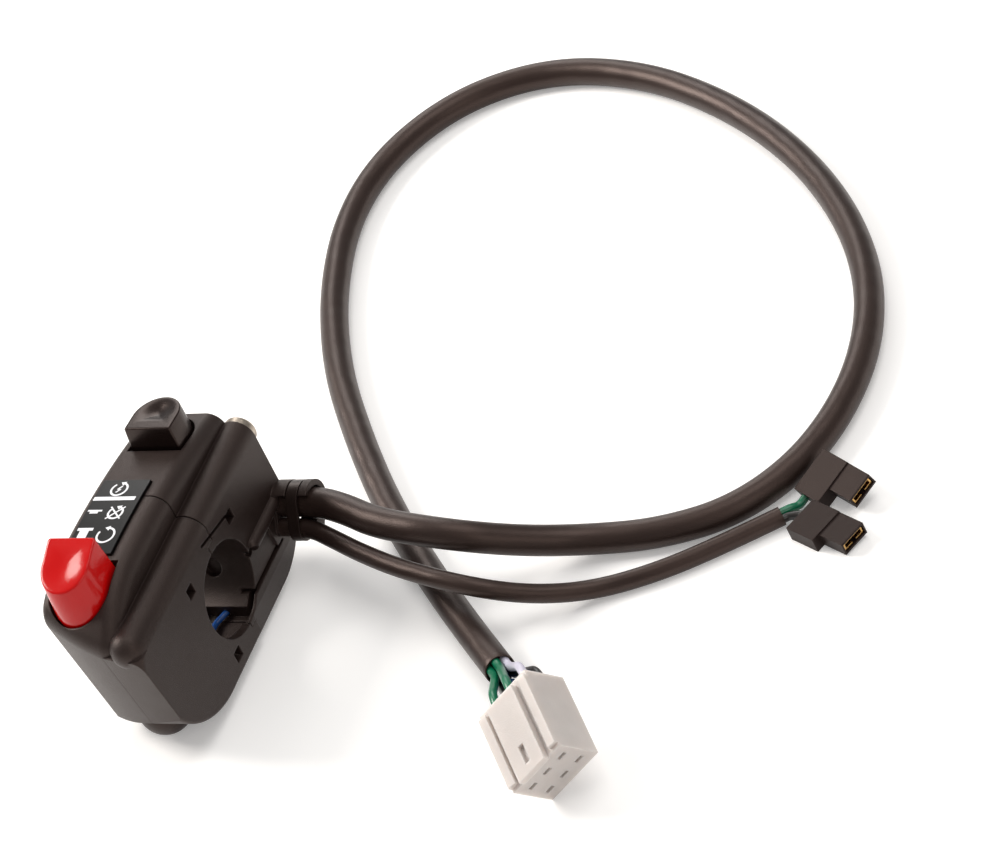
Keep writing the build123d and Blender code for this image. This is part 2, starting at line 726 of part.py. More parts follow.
# The housing with every hollow, hole and recess, before it is parted
with BuildPart() as housing:
    add(housing_form.part)
    add(rooms.part, mode=Mode.SUBTRACT)
    add(wire_room.part, mode=Mode.SUBTRACT)
    # Rib beside the channel, cleared for the cables, and the trough that the tie is pulled round
    with BuildSketch(Plane.XZ.offset(-upper_end_y)):
        with Locations((body_half, rib_z)):
            Circle(rib_radius)
    extrude(amount=upper_end_y - rib_low_y)
    with Locations((body_half, rib_low_y, rib_z)):
        Sphere(rib_radius)
    with BuildSketch(Plane.YZ.offset(body_half)):
        add(trough_section(trough_outer_radius))
    extrude(amount=trough_groove_start)
    with BuildSketch(Plane.YZ.offset(body_half)):
        add(trough_section(trough_groove_radius))
    extrude(amount=trough_length)
    with BuildSketch(Plane.YZ.offset(body_half + trough_groove_start + trough_groove_width)):
        add(trough_section(trough_outer_radius))
    extrude(amount=trough_length - trough_groove_start - trough_groove_width)
    with BuildSketch(Plane.YZ.offset(body_half)):
        add(circle_hull(grommet_room))
    extrude(amount=trough_length, mode=Mode.SUBTRACT)
    # Bar bore
    with BuildSketch(Plane.YZ.offset(-body_width)):
        Circle(bar_bore_radius)
    extrude(amount=2 * body_width, mode=Mode.SUBTRACT)
    # Cable channel, the dark slot beside it, and the bevel of the strip below
    with BuildSketch(Plane.YZ.offset(body_half - channel_depth)):
        with Locations(((channel_start_y + channel_high_y) / 2, (channel_top_z + channel_low_z) / 2)):
            Rectangle(channel_high_y - channel_start_y, channel_top_z - channel_low_z)
    extrude(amount=body_half, mode=Mode.SUBTRACT)
    with BuildSketch(Plane.YZ.offset(body_half - shadow_slot_depth)):
        with Locations(((shadow_slot_low_y + shadow_slot_high_y) / 2, channel_low_z)):
            Rectangle(shadow_slot_high_y - shadow_slot_low_y, shadow_slot_width)
    extrude(amount=body_half, mode=Mode.SUBTRACT)
    with BuildSketch(Plane.XZ.offset(-upper_end_y)):
        with BuildLine():
            Polyline(
                (body_half - strip_bevel, floor_z),
                (body_half - strip_bevel, back_upper_z),
                (body_half, strip_bevel_top_z),
                (2 * body_half, strip_bevel_top_z),
                (2 * body_half, floor_z),
                close=True,
            )
        make_face()
    extrude(amount=upper_end_y - parting_y, mode=Mode.SUBTRACT)
    # Pit at the start of the rib, and the hole in the bore that a locating peg sits in
    with BuildSketch(Plane.YZ.offset(body_half - rib_pit_depth)):
        with Locations((rib_pit_y, rib_pit_z)):
            Circle(rib_pit_radius)
    extrude(amount=rib_pit_depth + rib_radius, mode=Mode.SUBTRACT)
    peg_turn = radians(peg_hole_turn)
    peg_way = (0, cos(peg_turn), sin(peg_turn))
    with BuildSketch(Plane(origin=(peg_hole_x, 0, 0), x_dir=(1, 0, 0), z_dir=peg_way)):
        Circle(peg_hole_radius)
    extrude(amount=bar_bore_radius + peg_hole_depth, mode=Mode.SUBTRACT)
    # Square locating recesses and the slot beside the ridge
    with BuildSketch(Plane.YZ.offset(body_half - square_depth)):
        with Locations((square_a_y, square_a_z), (square_b_y, square_b_z), (square_c_y, square_c_z)):
            Rectangle(square_side, square_side)
    extrude(amount=body_half, mode=Mode.SUBTRACT)
    slot_run = Vector(slot_high_y - slot_low_y, slot_high_z - slot_low_z)
    with BuildSketch(Plane.YZ.offset(body_half - slot_depth)):
        with Locations(((slot_low_y + slot_high_y) / 2, (slot_low_z + slot_high_z) / 2)):
            Rectangle(slot_run.length, slot_width, rotation=degrees(atan2(slot_run.Y, slot_run.X)))
    extrude(amount=body_half, mode=Mode.SUBTRACT)
    # Pocket in the back of the bore that shows the stop wire, and the ways of that wire
    with BuildSketch(Plane.XY.offset(wire_pocket_floor_z)):
        with Locations(
            (
                (wire_pocket_far_x + wire_pocket_near_x) / 2,
                (wire_pocket_low_y + wire_pocket_high_y) / 2,
            )
        ):
            Rectangle(wire_pocket_near_x - wire_pocket_far_x, wire_pocket_high_y - wire_pocket_low_y)
    extrude(amount=-wire_pocket_floor_z, mode=Mode.SUBTRACT)
    with BuildSketch(Plane.XY.offset(rim_relief_low_z)):
        with Locations(((wire_pocket_near_x + rim_relief_near_x) / 2, rim_relief_high_y / 2)):
            Rectangle(rim_relief_near_x - wire_pocket_near_x, rim_relief_high_y)
    extrude(amount=channel_low_z - rim_relief_low_z, mode=Mode.SUBTRACT)
    add(stop_wire_way, mode=Mode.SUBTRACT)
    # Clamp screw holes, the way to the rear screw's head, and the seats of the inserts
    with BuildSketch(Plane.XZ.offset(-upper_end_y)):
        with Locations((ridge_x, ridge_z)):
            Circle(screw_hole_radius)
    extrude(amount=upper_end_y - front_screw_end_y + hole_overrun, mode=Mode.SUBTRACT)
    with BuildSketch(Plane.XZ.offset(-boss_head_y)):
        with Locations((0, rear_screw_z)):
            Circle(screw_hole_radius)
    extrude(amount=boss_head_y - rear_screw_end_y + hole_overrun, mode=Mode.SUBTRACT)
    with BuildSketch(Plane.XZ.offset(-boss_head_y)):
        with Locations((0, rear_screw_z)):
            Circle(rear_access_radius)
    extrude(amount=-upper_end_y, mode=Mode.SUBTRACT)
    with BuildSketch(Plane.XZ.offset(-insert_start_y)):
        with Locations((ridge_x, ridge_z), (0, rear_screw_z)):
            Circle(insert_radius)
    extrude(amount=insert_length, mode=Mode.SUBTRACT)
    # Way of the grommet's neck through the side wall
    with BuildSketch(Plane.YZ.offset(wire_room_near_x)):
        add(circle_hull(grommet_neck))
    extrude(amount=body_half, mode=Mode.SUBTRACT)
    # Recess of the label plate
    with BuildSketch(Plane.YZ.offset(label_x - label_width / 2 - label_clearance)):
        with BuildLine():
            label_middle_y = (label_high_y + label_low_y) / 2
            recess_high_y = label_high_y + label_clearance
            recess_low_y = label_low_y - label_clearance
            recess_floor = ThreePointArc(
                (recess_high_y, panel_z(recess_high_y) - label_sunk),
                (label_middle_y, panel_z(label_middle_y) - label_sunk),
                (recess_low_y, panel_z(recess_low_y) - label_sunk),
            )
            Polyline(
                recess_floor @ 1,
                (recess_low_y, panel_crown_z + panel_wall),
                (recess_high_y, panel_crown_z + panel_wall),
                recess_floor @ 0,
            )
        make_face()
    extrude(amount=label_width + 2 * label_clearance, mode=Mode.SUBTRACT)
    # Holes of the two buttons
    with BuildSketch(Plane.XY.offset(start_base_top_z)):
        with Locations((start_x, 0)):
            add(
                dee(
                    start_width + 2 * button_clearance,
                    start_length + 2 * button_clearance,
                    start_flat_y - button_clearance,
                    1,
                )
            )
    extrude(amount=panel_crown_z, mode=Mode.SUBTRACT)
    with BuildSketch(Plane.XY.offset(barrel_high_z)):
        with Locations((stop_x, 0)):
            add(
                dee(
                    stop_width + 2 * button_clearance,
                    stop_length + 2 * button_clearance,
                    stop_flat_y + button_clearance,
                    -1,
                )
            )
    extrude(amount=panel_crown_z, mode=Mode.SUBTRACT)
    # Pilot holes of the four base screws
    with BuildSketch(Plane.XY.offset(room_floor_z)):
        with Locations(*start_base_screws):
            Circle(base_screw_radius)
    extrude(amount=-base_screw_depth, mode=Mode.SUBTRACT)
    with BuildSketch(Plane.XY.offset(well_floor_z)):
        with Locations(*stop_base_screws):
            Circle(base_screw_radius)
    extrude(amount=-base_screw_depth, mode=Mode.SUBTRACT)

print("housing", round(housing.part.volume), len(housing.part.solids()), housing.part.is_valid)

with BuildPart() as upper_shell:
    add(housing.part)
    with BuildSketch(Plane.YZ.offset(-2 * body_width)):
        add(shell_region(clamp_gap, 1))
    extrude(amount=4 * body_width, mode=Mode.INTERSECT)

with BuildPart() as lower_shell:
    add(housing.part)
    with BuildSketch(Plane.YZ.offset(-2 * body_width)):
        add(shell_region(clamp_gap, -1))
    extrude(amount=4 * body_width, mode=Mode.INTERSECT)
print("upper", len(upper_shell.part.solids()), "lower", len(lower_shell.part.solids()))

# Label plate, bent along the panel
with BuildPart() as label_plate:
    with BuildSketch(Plane.YZ.offset(label_x - label_width / 2)):
        with BuildLine():
            plate_floor = ThreePointArc(
                (label_high_y, panel_z(label_high_y) - label_sunk),
                (label_middle_y, panel_z(label_middle_y) - label_sunk),
                (label_low_y, panel_z(label_low_y) - label_sunk),
            )
            plate_top = ThreePointArc(
                (label_high_y, panel_z(label_high_y) + label_proud),
                (label_middle_y, panel_z(label_middle_y) + label_proud),
                (label_low_y, panel_z(label_low_y) + label_proud),
            )
            Line(plate_floor @ 0, plate_top @ 0)
            Line(plate_floor @ 1, plate_top @ 1)
        make_face()
    extrude(amount=label_width)


def button(sizes):
    """A push button: a D plan that narrows upwards, a sloped and dished top, a hollow below."""
    with BuildPart() as body:
        with BuildSketch(Plane.XY.offset(sizes["skirt_low"])):
            add(dee(sizes["width"], sizes["length"], sizes["flat_y"], sizes["way"]))
        extrude(amount=sizes["skirt_high"] - sizes["skirt_low"])
        with BuildSketch(Plane.XY.offset(sizes["skirt_high"])):
            add(dee(sizes["width"], sizes["length"], sizes["flat_y"], sizes["way"]))
        with BuildSketch(Plane.XY.offset(sizes["top_flat_z"] + sizes["dish_depth"])):
            add(dee(sizes["top_width"], sizes["top_length"], sizes["top_flat_y"], sizes["way"]))
        loft()
        round_y = sizes["top_flat_y"] + sizes["way"] * sizes["top_length"]
        high_z = 2 * sizes["top_flat_z"]
        past_y = sizes["way"] * sizes["top_length"]
        slope = (sizes["top_round_z"] - sizes["top_flat_z"]) / sizes["top_length"]
        past_z = slope * sizes["top_length"]
        with BuildSketch(Plane.YZ.offset(-sizes["width"])):
            with BuildLine():
                Polyline(
                    (sizes["top_flat_y"] - past_y, sizes["top_flat_z"] - past_z),
                    (round_y + past_y, sizes["top_round_z"] + past_z),
                    (round_y + past_y, high_z),
                    (sizes["top_flat_y"] - past_y, high_z),
                    close=True,
                )
            make_face()
        extrude(amount=2 * sizes["width"], mode=Mode.SUBTRACT)
        dish_y = sizes["top_flat_y"] + sizes["way"] * sizes["top_length"] * sizes["dish_share"]
        dish_z = sizes["top_flat_z"] + (sizes["top_round_z"] - sizes["top_flat_z"]) * sizes["dish_share"]
        with Locations((0, dish_y, dish_z - sizes["dish_depth"] + sizes["dish_radius"])):
            Sphere(sizes["dish_radius"], mode=Mode.SUBTRACT)
    return body.part


start_form = button(
    {
        "width": start_width, "length": start_length, "flat_y": start_flat_y, "way": 1,
        "skirt_low": start_skirt_low_z, "skirt_high": start_skirt_high_z,
        "top_width": start_top_width, "top_length": start_top_length, "top_flat_y": start_top_flat_y,
        "top_flat_z": start_top_flat_z, "top_round_z": start_top_round_z,
        "dish_radius": start_dish_radius, "dish_depth": start_dish_depth, "dish_share": start_dish_share,
    }
)
with BuildPart() as start_button:
    with Locations((start_x, 0, 0)):
        add(start_form)
    with BuildSketch(Plane.XY.offset(start_skirt_low_z)):
        with Locations((start_x, start_wing_y)):
            Rectangle(start_width + 2 * wing_reach, wing_length)
    extrude(amount=wing_height)
    with BuildSketch(Plane.XY.offset(start_skirt_low_z)):
        with Locations((start_x, start_middle_y)):
            Circle(start_hollow_radius)
    extrude(amount=start_hollow_top_z - start_skirt_low_z, mode=Mode.SUBTRACT)

stop_form = button(
    {
        "width": stop_width, "length": stop_length, "flat_y": stop_flat_y, "way": -1,
        "skirt_low": stop_skirt_low_z, "skirt_high": stop_skirt_high_z,
        "top_width": stop_top_width, "top_length": stop_top_length, "top_flat_y": stop_top_flat_y,
        "top_flat_z": stop_top_flat_z, "top_round_z": stop_top_round_z,
        "dish_radius": stop_dish_radius, "dish_depth": stop_dish_depth, "dish_share": stop_dish_share,
    }
)
tooth_crown_z = rotor_low_z + rotor_body_height + tooth_height
plunger_low_z = tooth_crown_z + tooth_gap
with BuildPart() as stop_button:
    with Locations((stop_x, 0, 0)):
        add(stop_form)
    with BuildSketch(Plane.XY.offset(stop_skirt_low_z)):
        with Locations((stop_x, 0)):
            add(
                dee(
                    stop_width - 2 * stop_wall,
                    stop_length - 2 * stop_wall,
                    stop_flat_y - stop_wall,
                    -1,
                )
            )
    extrude(amount=stop_hollow_top_z - stop_skirt_low_z, mode=Mode.SUBTRACT)
    with BuildSketch(Plane.XY.offset(plunger_low_z)):
        with Locations((stop_x, latch_y)):
            Circle(plunger_radius)
            with PolarLocations(plunger_radius, barrel_count):
                Rectangle(2 * flute_depth, flute_width, mode=Mode.SUBTRACT)
    extrude(amount=stop_hollow_top_z - plunger_low_z)
    with BuildSketch(Plane.XY.offset(stop_wing_z)):
        with Locations((stop_x, stop_flat_y)):
            Rectangle(stop_bridge_length, 2 * wing_reach)
        with Locations((stop_x + stop_width / 2, stop_side_wing_y)):
            Rectangle(2 * wing_reach, wing_length)
    extrude(amount=wing_height)


def coil(centre_x, centre_y, low_z, high_z, radius, turns):
    """A round wire spring that stands between two heights."""
    height = high_z - low_z - 2 * spring_wire_radius
    with BuildPart() as spring:
        with BuildLine():
            path = Helix(pitch=height / turns, height=height, radius=radius)
        with BuildSketch(Plane(origin=path @ 0, z_dir=path % 0)):
            Circle(spring_wire_radius)
        sweep(path=path, is_frenet=True)
    return spring.part.moved(Location((centre_x, centre_y, low_z + spring_wire_radius)))


def terminal_pair(centre_x, centre_y, spacing, low_z, high_z):
    """Two square terminals that stand beside each other."""
    pair = []
    for way in (-1, 1):
        with BuildPart() as terminal:
            with BuildSketch(Plane.XY.offset(low_z)):
                with Locations((centre_x + way * spacing / 2, centre_y)):
                    Rectangle(terminal_side, terminal_side)
            extrude(amount=high_z - low_z)
        pair.append(terminal)
    return pair


# Start switch
start_terminals = terminal_pair(
    start_x, start_bridge_y, start_terminal_spacing, room_floor_z, start_terminal_high_z
)
with BuildPart() as start_switch_base:
    with BuildSketch(Plane.XY.offset(room_floor_z)):
        with Locations(
            ((hollow_far_x + hollow_near_x) / 2, (start_base_low_y + start_base_high_y) / 2)
        ):
            Rectangle(
                hollow_near_x - hollow_far_x - 2 * start_base_margin,
                start_base_high_y - start_base_low_y,
            )
        with Locations(*start_base_screws):
            Circle(base_screw_radius, mode=Mode.SUBTRACT)
    extrude(amount=start_base_thickness)
    with BuildSketch(Plane.XY.offset(start_base_top_z)):
        with Locations((start_x, start_middle_y)):
            Circle(start_post_radius)
    extrude(amount=start_post_height)
    for terminal in start_terminals:
        add(terminal.part, mode=Mode.SUBTRACT)

with BuildPart() as start_contact_bridge:
    with BuildSketch(Plane.XY.offset(start_skirt_low_z)):
        with Locations((start_x, start_bridge_y)):
            Rectangle(start_bridge_length, bridge_width)
    extrude(amount=-bridge_thickness)

# Stop switch
stop_terminals = terminal_pair(
    stop_x, stop_bridge_y, stop_terminal_spacing, well_floor_z, stop_terminal_high_z
)
with BuildPart() as stop_switch_base:
    with BuildSketch(Plane.XY.offset(well_floor_z)):
        with Locations(
            ((hollow_far_x + hollow_near_x) / 2, (stop_base_high_y + lower_end_near_y) / 2)
        ):
            Rectangle(
                hollow_near_x - hollow_far_x - 2 * stop_base_margin,
                stop_base_high_y - lower_end_near_y,
            )
        with Locations(*stop_base_screws):
            Circle(base_screw_radius, mode=Mode.SUBTRACT)
    extrude(amount=stop_base_thickness)
    with BuildSketch(Plane.XY.offset(stop_base_thickness)):
        with Locations((stop_x, latch_y)):
            Circle(barrel_outer_radius)
            Circle(barrel_inner_radius, mode=Mode.SUBTRACT)
    extrude(amount=barrel_high_z - stop_base_thickness)
    with BuildSketch(Plane.XY.offset(barrel_rib_low_z)):
        with Locations((stop_x, latch_y)):
            Circle(barrel_inner_radius + barrel_rib_overlap)
            Circle(barrel_inner_radius - barrel_rib_depth, mode=Mode.SUBTRACT)
            with PolarLocations(0, barrel_count):
                Rectangle(2 * barrel_outer_radius, barrel_rib_width, mode=Mode.INTERSECT)
    extrude(amount=barrel_high_z - barrel_rib_low_z)
    for terminal in stop_terminals:
        add(terminal.part, mode=Mode.SUBTRACT)
    with BuildSketch(plan_plane):
        add(leaned_plan(end_wall + stop_base_margin, hollow_far_x, hollow_near_x))
    extrude(amount=lean_length, dir=lean_direction, mode=Mode.INTERSECT)

with BuildPart() as stop_contact_bridge:
    with BuildSketch(Plane.XY.offset(stop_wing_z)):
        with Locations((stop_x, stop_bridge_y)):
            Rectangle(stop_bridge_length, bridge_width)
    extrude(amount=-bridge_thickness)

# Latch rotor: a crown of sloping teeth on top and four fins that ride between the ribs
with BuildPart() as latch_rotor:
    with BuildSketch(Plane.XY.offset(rotor_low_z)):
        with Locations((stop_x, latch_y)):
            Circle(rotor_radius)
            with PolarLocations(rotor_radius, barrel_count, start_angle=rotor_turn):
                Rectangle(2 * rotor_fin_reach, rotor_fin_width)
    extrude(amount=rotor_body_height)
    with BuildSketch(Plane.XY.offset(rotor_low_z + rotor_body_height)):
        with Locations((stop_x, latch_y)):
            with PolarLocations(rotor_radius - tooth_length / 2, tooth_count):
                Rectangle(tooth_length - rotor_fin_width, tooth_width)
    extrude(amount=tooth_height, taper=tooth_taper)

start_spring = coil(
    start_x, start_middle_y, start_base_top_z, start_hollow_top_z, start_spring_radius, start_spring_turns
)
stop_spring = coil(
    stop_x, latch_y, stop_base_thickness, rotor_low_z, stop_spring_radius, stop_spring_turns
)


def pan_screw(head_radius, start_y, end_y, centre_x, centre_z):
    """A pan head screw that points down Y, with a cross recess in its head."""
    with BuildPart() as screw:
        with BuildSketch(Plane.XZ.offset(-start_y)):
            with Locations((centre_x, centre_z)):
                Circle(head_radius)
        extrude(amount=-head_height)
        fillet(screw.faces().sort_by(Axis.Y)[-1].edges(), radius=head_edge_radius)
        with BuildSketch(Plane.XZ.offset(-start_y)):
            with Locations((centre_x, centre_z)):
                Circle(screw_radius)
        extrude(amount=start_y - end_y)
        with BuildSketch(Plane.XZ.offset(-start_y - head_height)):
            with Locations((centre_x, centre_z)):
                Rectangle(2 * drive_radius, drive_width)
                Rectangle(drive_width, 2 * drive_radius)
        extrude(amount=drive_depth, mode=Mode.SUBTRACT)
    return screw


front_clamp_screw = pan_screw(front_head_radius, upper_end_y, front_screw_end_y, ridge_x, ridge_z)
rear_clamp_screw = pan_screw(rear_head_radius, boss_head_y, rear_screw_end_y, 0, rear_screw_z)


def thread_insert(centre_x, centre_z):
    """A brass sleeve with two grooves round it that the shell grips."""
    with BuildPart() as insert:
        with BuildSketch(Plane.XZ.offset(-insert_start_y)):
            with Locations((centre_x, centre_z)):
                Circle(insert_radius)
        extrude(amount=insert_length)
        for share in insert_groove_shares:
            with BuildSketch(Plane.XZ.offset(-insert_start_y + insert_length * share)):
                with Locations((centre_x, centre_z)):
                    Circle(2 * insert_radius)
                    Circle(insert_radius - insert_groove_depth, mode=Mode.SUBTRACT)
            extrude(amount=insert_groove_width, mode=Mode.SUBTRACT)
        with BuildSketch(Plane.XZ.offset(-insert_start_y)):
            with Locations((centre_x, centre_z)):
                Circle(screw_radius)
        extrude(amount=insert_length, mode=Mode.SUBTRACT)
    return insert


front_insert = thread_insert(ridge_x, ridge_z)
rear_insert = thread_insert(0, rear_screw_z)


def base_screw(place, seat_z):
    """A small screw that stands through a switch base into the shell."""
    with BuildPart() as screw:
        with BuildSketch(Plane.XY.offset(seat_z)):
            with Locations(place):
                Circle(base_screw_head_radius)
        extrude(amount=base_screw_head_height)
        with BuildSketch(Plane.XY.offset(seat_z)):
            with Locations(place):
                Circle(base_screw_radius)
        extrude(amount=-base_screw_depth)
        with BuildSketch(Plane.XY.offset(seat_z + base_screw_head_height)):
            with Locations(place):
                Rectangle(2 * base_screw_radius, base_screw_slot)
        extrude(amount=-base_screw_head_height / 2, mode=Mode.SUBTRACT)
    return screw


# Grommet that the two cables leave through
with BuildPart() as cable_grommet:
    with BuildSketch(Plane.YZ.offset(wire_room_near_x)):
        add(circle_hull(grommet_neck))
    extrude(amount=body_half - wire_room_near_x)
    with BuildSketch(Plane.YZ.offset(body_half)):
        add(circle_hull(grommet_flange))
    extrude(amount=grommet_flange_thickness)


def on_first_run(points, x):
    """Where the first run of a route passes x, as its Y and Z."""
    share = (x - points[0][0]) / (points[1][0] - points[0][0])
    return tuple(a + (b - a) * share for a, b in zip(points[0][1:], points[1][1:]))


# Tie pulled round the trough and both cables, with its head behind them
tie_low_x = tie_x - tie_width / 2
tie_high_x = tie_x + tie_width / 2
tie_circles = [(main_exit_y, main_exit_z, trough_groove_radius + tie_ring_slack)]
for edge_x in (tie_low_x, tie_high_x):
    tie_circles.append((*on_first_run(second_route, edge_x), second_radius + tie_slack))
tie_outer = [(y, z, radius + tie_thickness) for y, z, radius in tie_circles]
exit_step = Vector(0, main_exit_y - second_exit_y, main_exit_z - second_exit_z)
tie_middle = Vector(tie_x, second_exit_y, second_exit_z) + exit_step / 2
tie_back = Vector(1, 0, 0).cross(exit_step).normalized() * -1
with BuildPart() as cable_tie:
    with BuildSketch(Plane.YZ.offset(tie_low_x)):
        add(circle_hull(tie_outer))
        add(circle_hull(tie_circles), mode=Mode.SUBTRACT)
    extrude(amount=tie_width)
    with BuildSketch(Plane(origin=tie_middle + tie_back * tie_head_reach, x_dir=(1, 0, 0), z_dir=tie_back)):
        Rectangle(tie_head_size, tie_head_size)
    extrude(amount=tie_head_height)

# The two cables
main_cable = tube(main_route, cord_bend_limit, main_radius)
second_cable = tube(second_route, cord_bend_limit, second_radius)

# Where the six-way connector lies, turned, pitched down and rolled
heading, pitch, roll = radians(plug_heading), radians(plug_pitch), radians(plug_roll)
plug_forward = Vector(cos(pitch) * cos(heading), cos(pitch) * sin(heading), -sin(pitch))
plug_side = Vector(-sin(heading), cos(heading), 0)
plug_up = Vector(sin(pitch) * cos(heading), sin(pitch) * sin(heading), cos(pitch))
plug_across = plug_side * cos(roll) - plug_up * sin(roll)
plug_high = plug_side * sin(roll) + plug_up * cos(roll)
corner_drop = plug_depth / 2 * abs(plug_across.Z) + plug_width / 2 * plug_high.Z
plug_tail_z = floor_z + corner_drop - plug_length * plug_forward.Z
plug_tail = Vector(plug_tail_x, plug_tail_y, plug_tail_z)
plug_plane = Plane(origin=plug_tail, x_dir=plug_across, z_dir=plug_forward)
core_low_x = plug_panel_height - plug_depth / 2
cavities = [(x, y) for x in cavity_rows_x for y in cavity_columns_y]

with BuildPart() as plug_body:
    with BuildSketch(plug_plane):
        with Locations(((core_low_x + plug_depth / 2) / 2, 0)):
            Rectangle(plug_depth / 2 - core_low_x, plug_width)
    extrude(amount=plug_length)
    with BuildSketch(plug_plane.offset(plug_set_back)):
        with Locations((core_low_x - plug_panel_height / 2, 0)):
            Rectangle(plug_panel_height, plug_panel_width)
    extrude(amount=plug_length + plug_panel_reach - plug_set_back)
    with BuildSketch(plug_plane.offset(plug_set_back)):
        for way in (-1, 1):
            with Locations((core_low_x - rail_height / 2, way * (plug_width - rail_width) / 2)):
                Rectangle(rail_height, rail_width)
    extrude(amount=plug_length - rail_shortfall - plug_set_back)
    with BuildSketch(plug_plane.offset(plug_length - plug_nose_wall)):
        with Locations(*cavities):
            Rectangle(cavity_side, cavity_side)
    extrude(amount=plug_nose_wall - cavity_depth, mode=Mode.SUBTRACT)
    with BuildSketch(plug_plane.offset(plug_length)):
        with Locations(*cavities):
            Rectangle(plug_slot_width, plug_slot_length)
    extrude(amount=-2 * plug_nose_wall, mode=Mode.SUBTRACT)
    with BuildSketch(plug_plane):
        with Locations(*cavities):
            Circle(lead_radius)
    extrude(amount=plug_length - cavity_depth, mode=Mode.SUBTRACT)
    window_middle = plug_length - plug_window_from_nose - plug_window_length / 2
    with BuildSketch(plug_plane.offset(window_middle - plug_window_length / 2)):
        with Locations((plug_window_depth / 2 - plug_depth / 2, 0)):
            Rectangle(plug_window_depth, plug_window_width)
    extrude(amount=plug_window_length, mode=Mode.SUBTRACT)

plug_contacts = []
contact_start = plug_length - plug_contact_set_back - plug_contact_length
for cavity in cavities:
    with BuildPart() as contact:
        with BuildSketch(plug_plane.offset(contact_start)):
            with Locations(cavity):
                Rectangle(plug_contact_side, plug_contact_side)
        extrude(amount=plug_contact_length)
        with BuildSketch(plug_plane.offset(contact_start + plug_contact_wall)):
            with Locations(cavity):
                contact_inside = plug_contact_side - 2 * plug_contact_wall
                Rectangle(contact_inside, contact_inside)
        extrude(amount=plug_contact_length, mode=Mode.SUBTRACT)
    plug_contacts.append(contact)

# The six leads
sleeve_end = Vector(*main_route[-1])
sleeve_way = (sleeve_end - Vector(*main_route[-2])).normalized()
sleeve_side = Vector(-sleeve_way.Y, sleeve_way.X, 0).normalized()
sleeve_up = sleeve_way.cross(sleeve_side)
lead_routes = []
for (side, up), (across, high) in zip(lead_ring, cavities):
    start = sleeve_end + sleeve_side * side + sleeve_up * up
    entry = plug_tail + plug_across * across + plug_high * high
    route = [
        start,
        start + sleeve_way * lead_straight,
        entry - plug_forward * lead_straight,
        entry + plug_forward * contact_start,
    ]
    lead_routes.append([tuple(point) for point in route])
leads = [tube(route, lead_bend_limit, lead_radius) for route in lead_routes]


def blade_plane(point, heading, roll):
    """A plane whose Z runs out of the mouth and whose X is the raised left side."""
    turn, lift = radians(heading), radians(roll)
    forward = Vector(cos(turn), sin(turn), 0)
    left = Vector(-sin(turn), cos(turn), 0) * cos(lift) + Vector(0, 0, 1) * sin(lift)
    return Plane(origin=point, x_dir=left, z_dir=forward)


def blade_pieces(plane, rear_width):
    """The cover of one blade connector and the rolled terminal inside its mouth."""
    side_x = blade_front_width / 2
    with BuildPart() as cover:
        with BuildSketch(plane):
            with Locations((side_x - rear_width / 2, 0)):
                Rectangle(rear_width, blade_thickness)
        extrude(amount=blade_rear_length)
        with BuildSketch(plane):
            Rectangle(blade_front_width, blade_front_thickness)
        extrude(amount=blade_length)
        with BuildSketch(plane.offset(blade_length)):
            Rectangle(blade_cavity_width, blade_cavity_height)
        extrude(amount=-blade_cavity_depth, mode=Mode.SUBTRACT)
    terminal_end = blade_length - blade_terminal_set_back
    with BuildPart() as terminal:
        with BuildSketch(plane.offset(terminal_end)):
            Rectangle(blade_terminal_width, blade_terminal_height)
        extrude(amount=-blade_terminal_length)
        with BuildSketch(plane.offset(terminal_end)):
            Rectangle(
                blade_terminal_width - 2 * blade_terminal_wall,
                blade_terminal_height - 2 * blade_terminal_wall,
            )
            with Locations((0, -blade_terminal_height / 2 * plane_up(plane))):
                Rectangle(blade_terminal_slit, blade_terminal_height)
        extrude(amount=blade_terminal_wall - blade_terminal_length, mode=Mode.SUBTRACT)
    return cover, terminal


def plane_up(plane):
    """Plus one where the plane's Y points up, minus one where it points down."""
    return 1 if plane.y_dir.Z > 0 else -1


blade_a_plane = blade_plane(blade_a_point, blade_a_heading, blade_a_roll)
blade_b_plane = blade_plane(blade_b_point, blade_b_heading, blade_b_roll)
blade_a_cover, blade_a_terminal = blade_pieces(blade_a_plane, blade_a_rear_width)
blade_b_cover, blade_b_terminal = blade_pieces(blade_b_plane, blade_b_rear_width)

# Their leads: one goes into the side of its cover, the other straight through to the terminal
second_end = Vector(*second_route[-1])
second_way = (second_end - Vector(*second_route[-2])).normalized()
second_side = Vector(-second_way.Y, second_way.X, 0)
side_entry = (
    blade_a_plane.origin
    + blade_a_plane.z_dir * blade_side_lead_z
    - blade_a_plane.x_dir * (blade_a_rear_width - blade_front_width / 2)
)
blade_a_start = second_end + second_side * blade_lead_offset
blade_b_start = second_end - second_side * blade_lead_offset
blade_a_route = [
    tuple(blade_a_start),
    tuple(blade_a_start + second_way * blade_lead_straight),
    tuple(side_entry - blade_a_plane.x_dir * blade_lead_straight),
    tuple(side_entry + blade_a_plane.x_dir * blade_side_lead_depth),
]
blade_lead_end = blade_length - blade_terminal_set_back - blade_terminal_length
blade_b_route = [
    tuple(blade_b_start),
    tuple(blade_b_start + second_way * blade_lead_straight / 2),
    tuple(blade_b_plane.origin - blade_b_plane.z_dir * blade_lead_straight / 2),
    tuple(blade_b_plane.origin + blade_b_plane.z_dir * blade_lead_end),
]
blade_a_lead = tube(blade_a_route, lead_bend_limit, blade_lead_radius)
blade_b_lead = tube(blade_b_route, lead_bend_limit, blade_lead_radius)
with BuildPart() as blade_a_holed:
    add(blade_a_cover.part)
    add(blade_a_lead, mode=Mode.SUBTRACT)
with BuildPart() as blade_b_holed:
    add(blade_b_cover.part)
    add(blade_b_lead, mode=Mode.SUBTRACT)

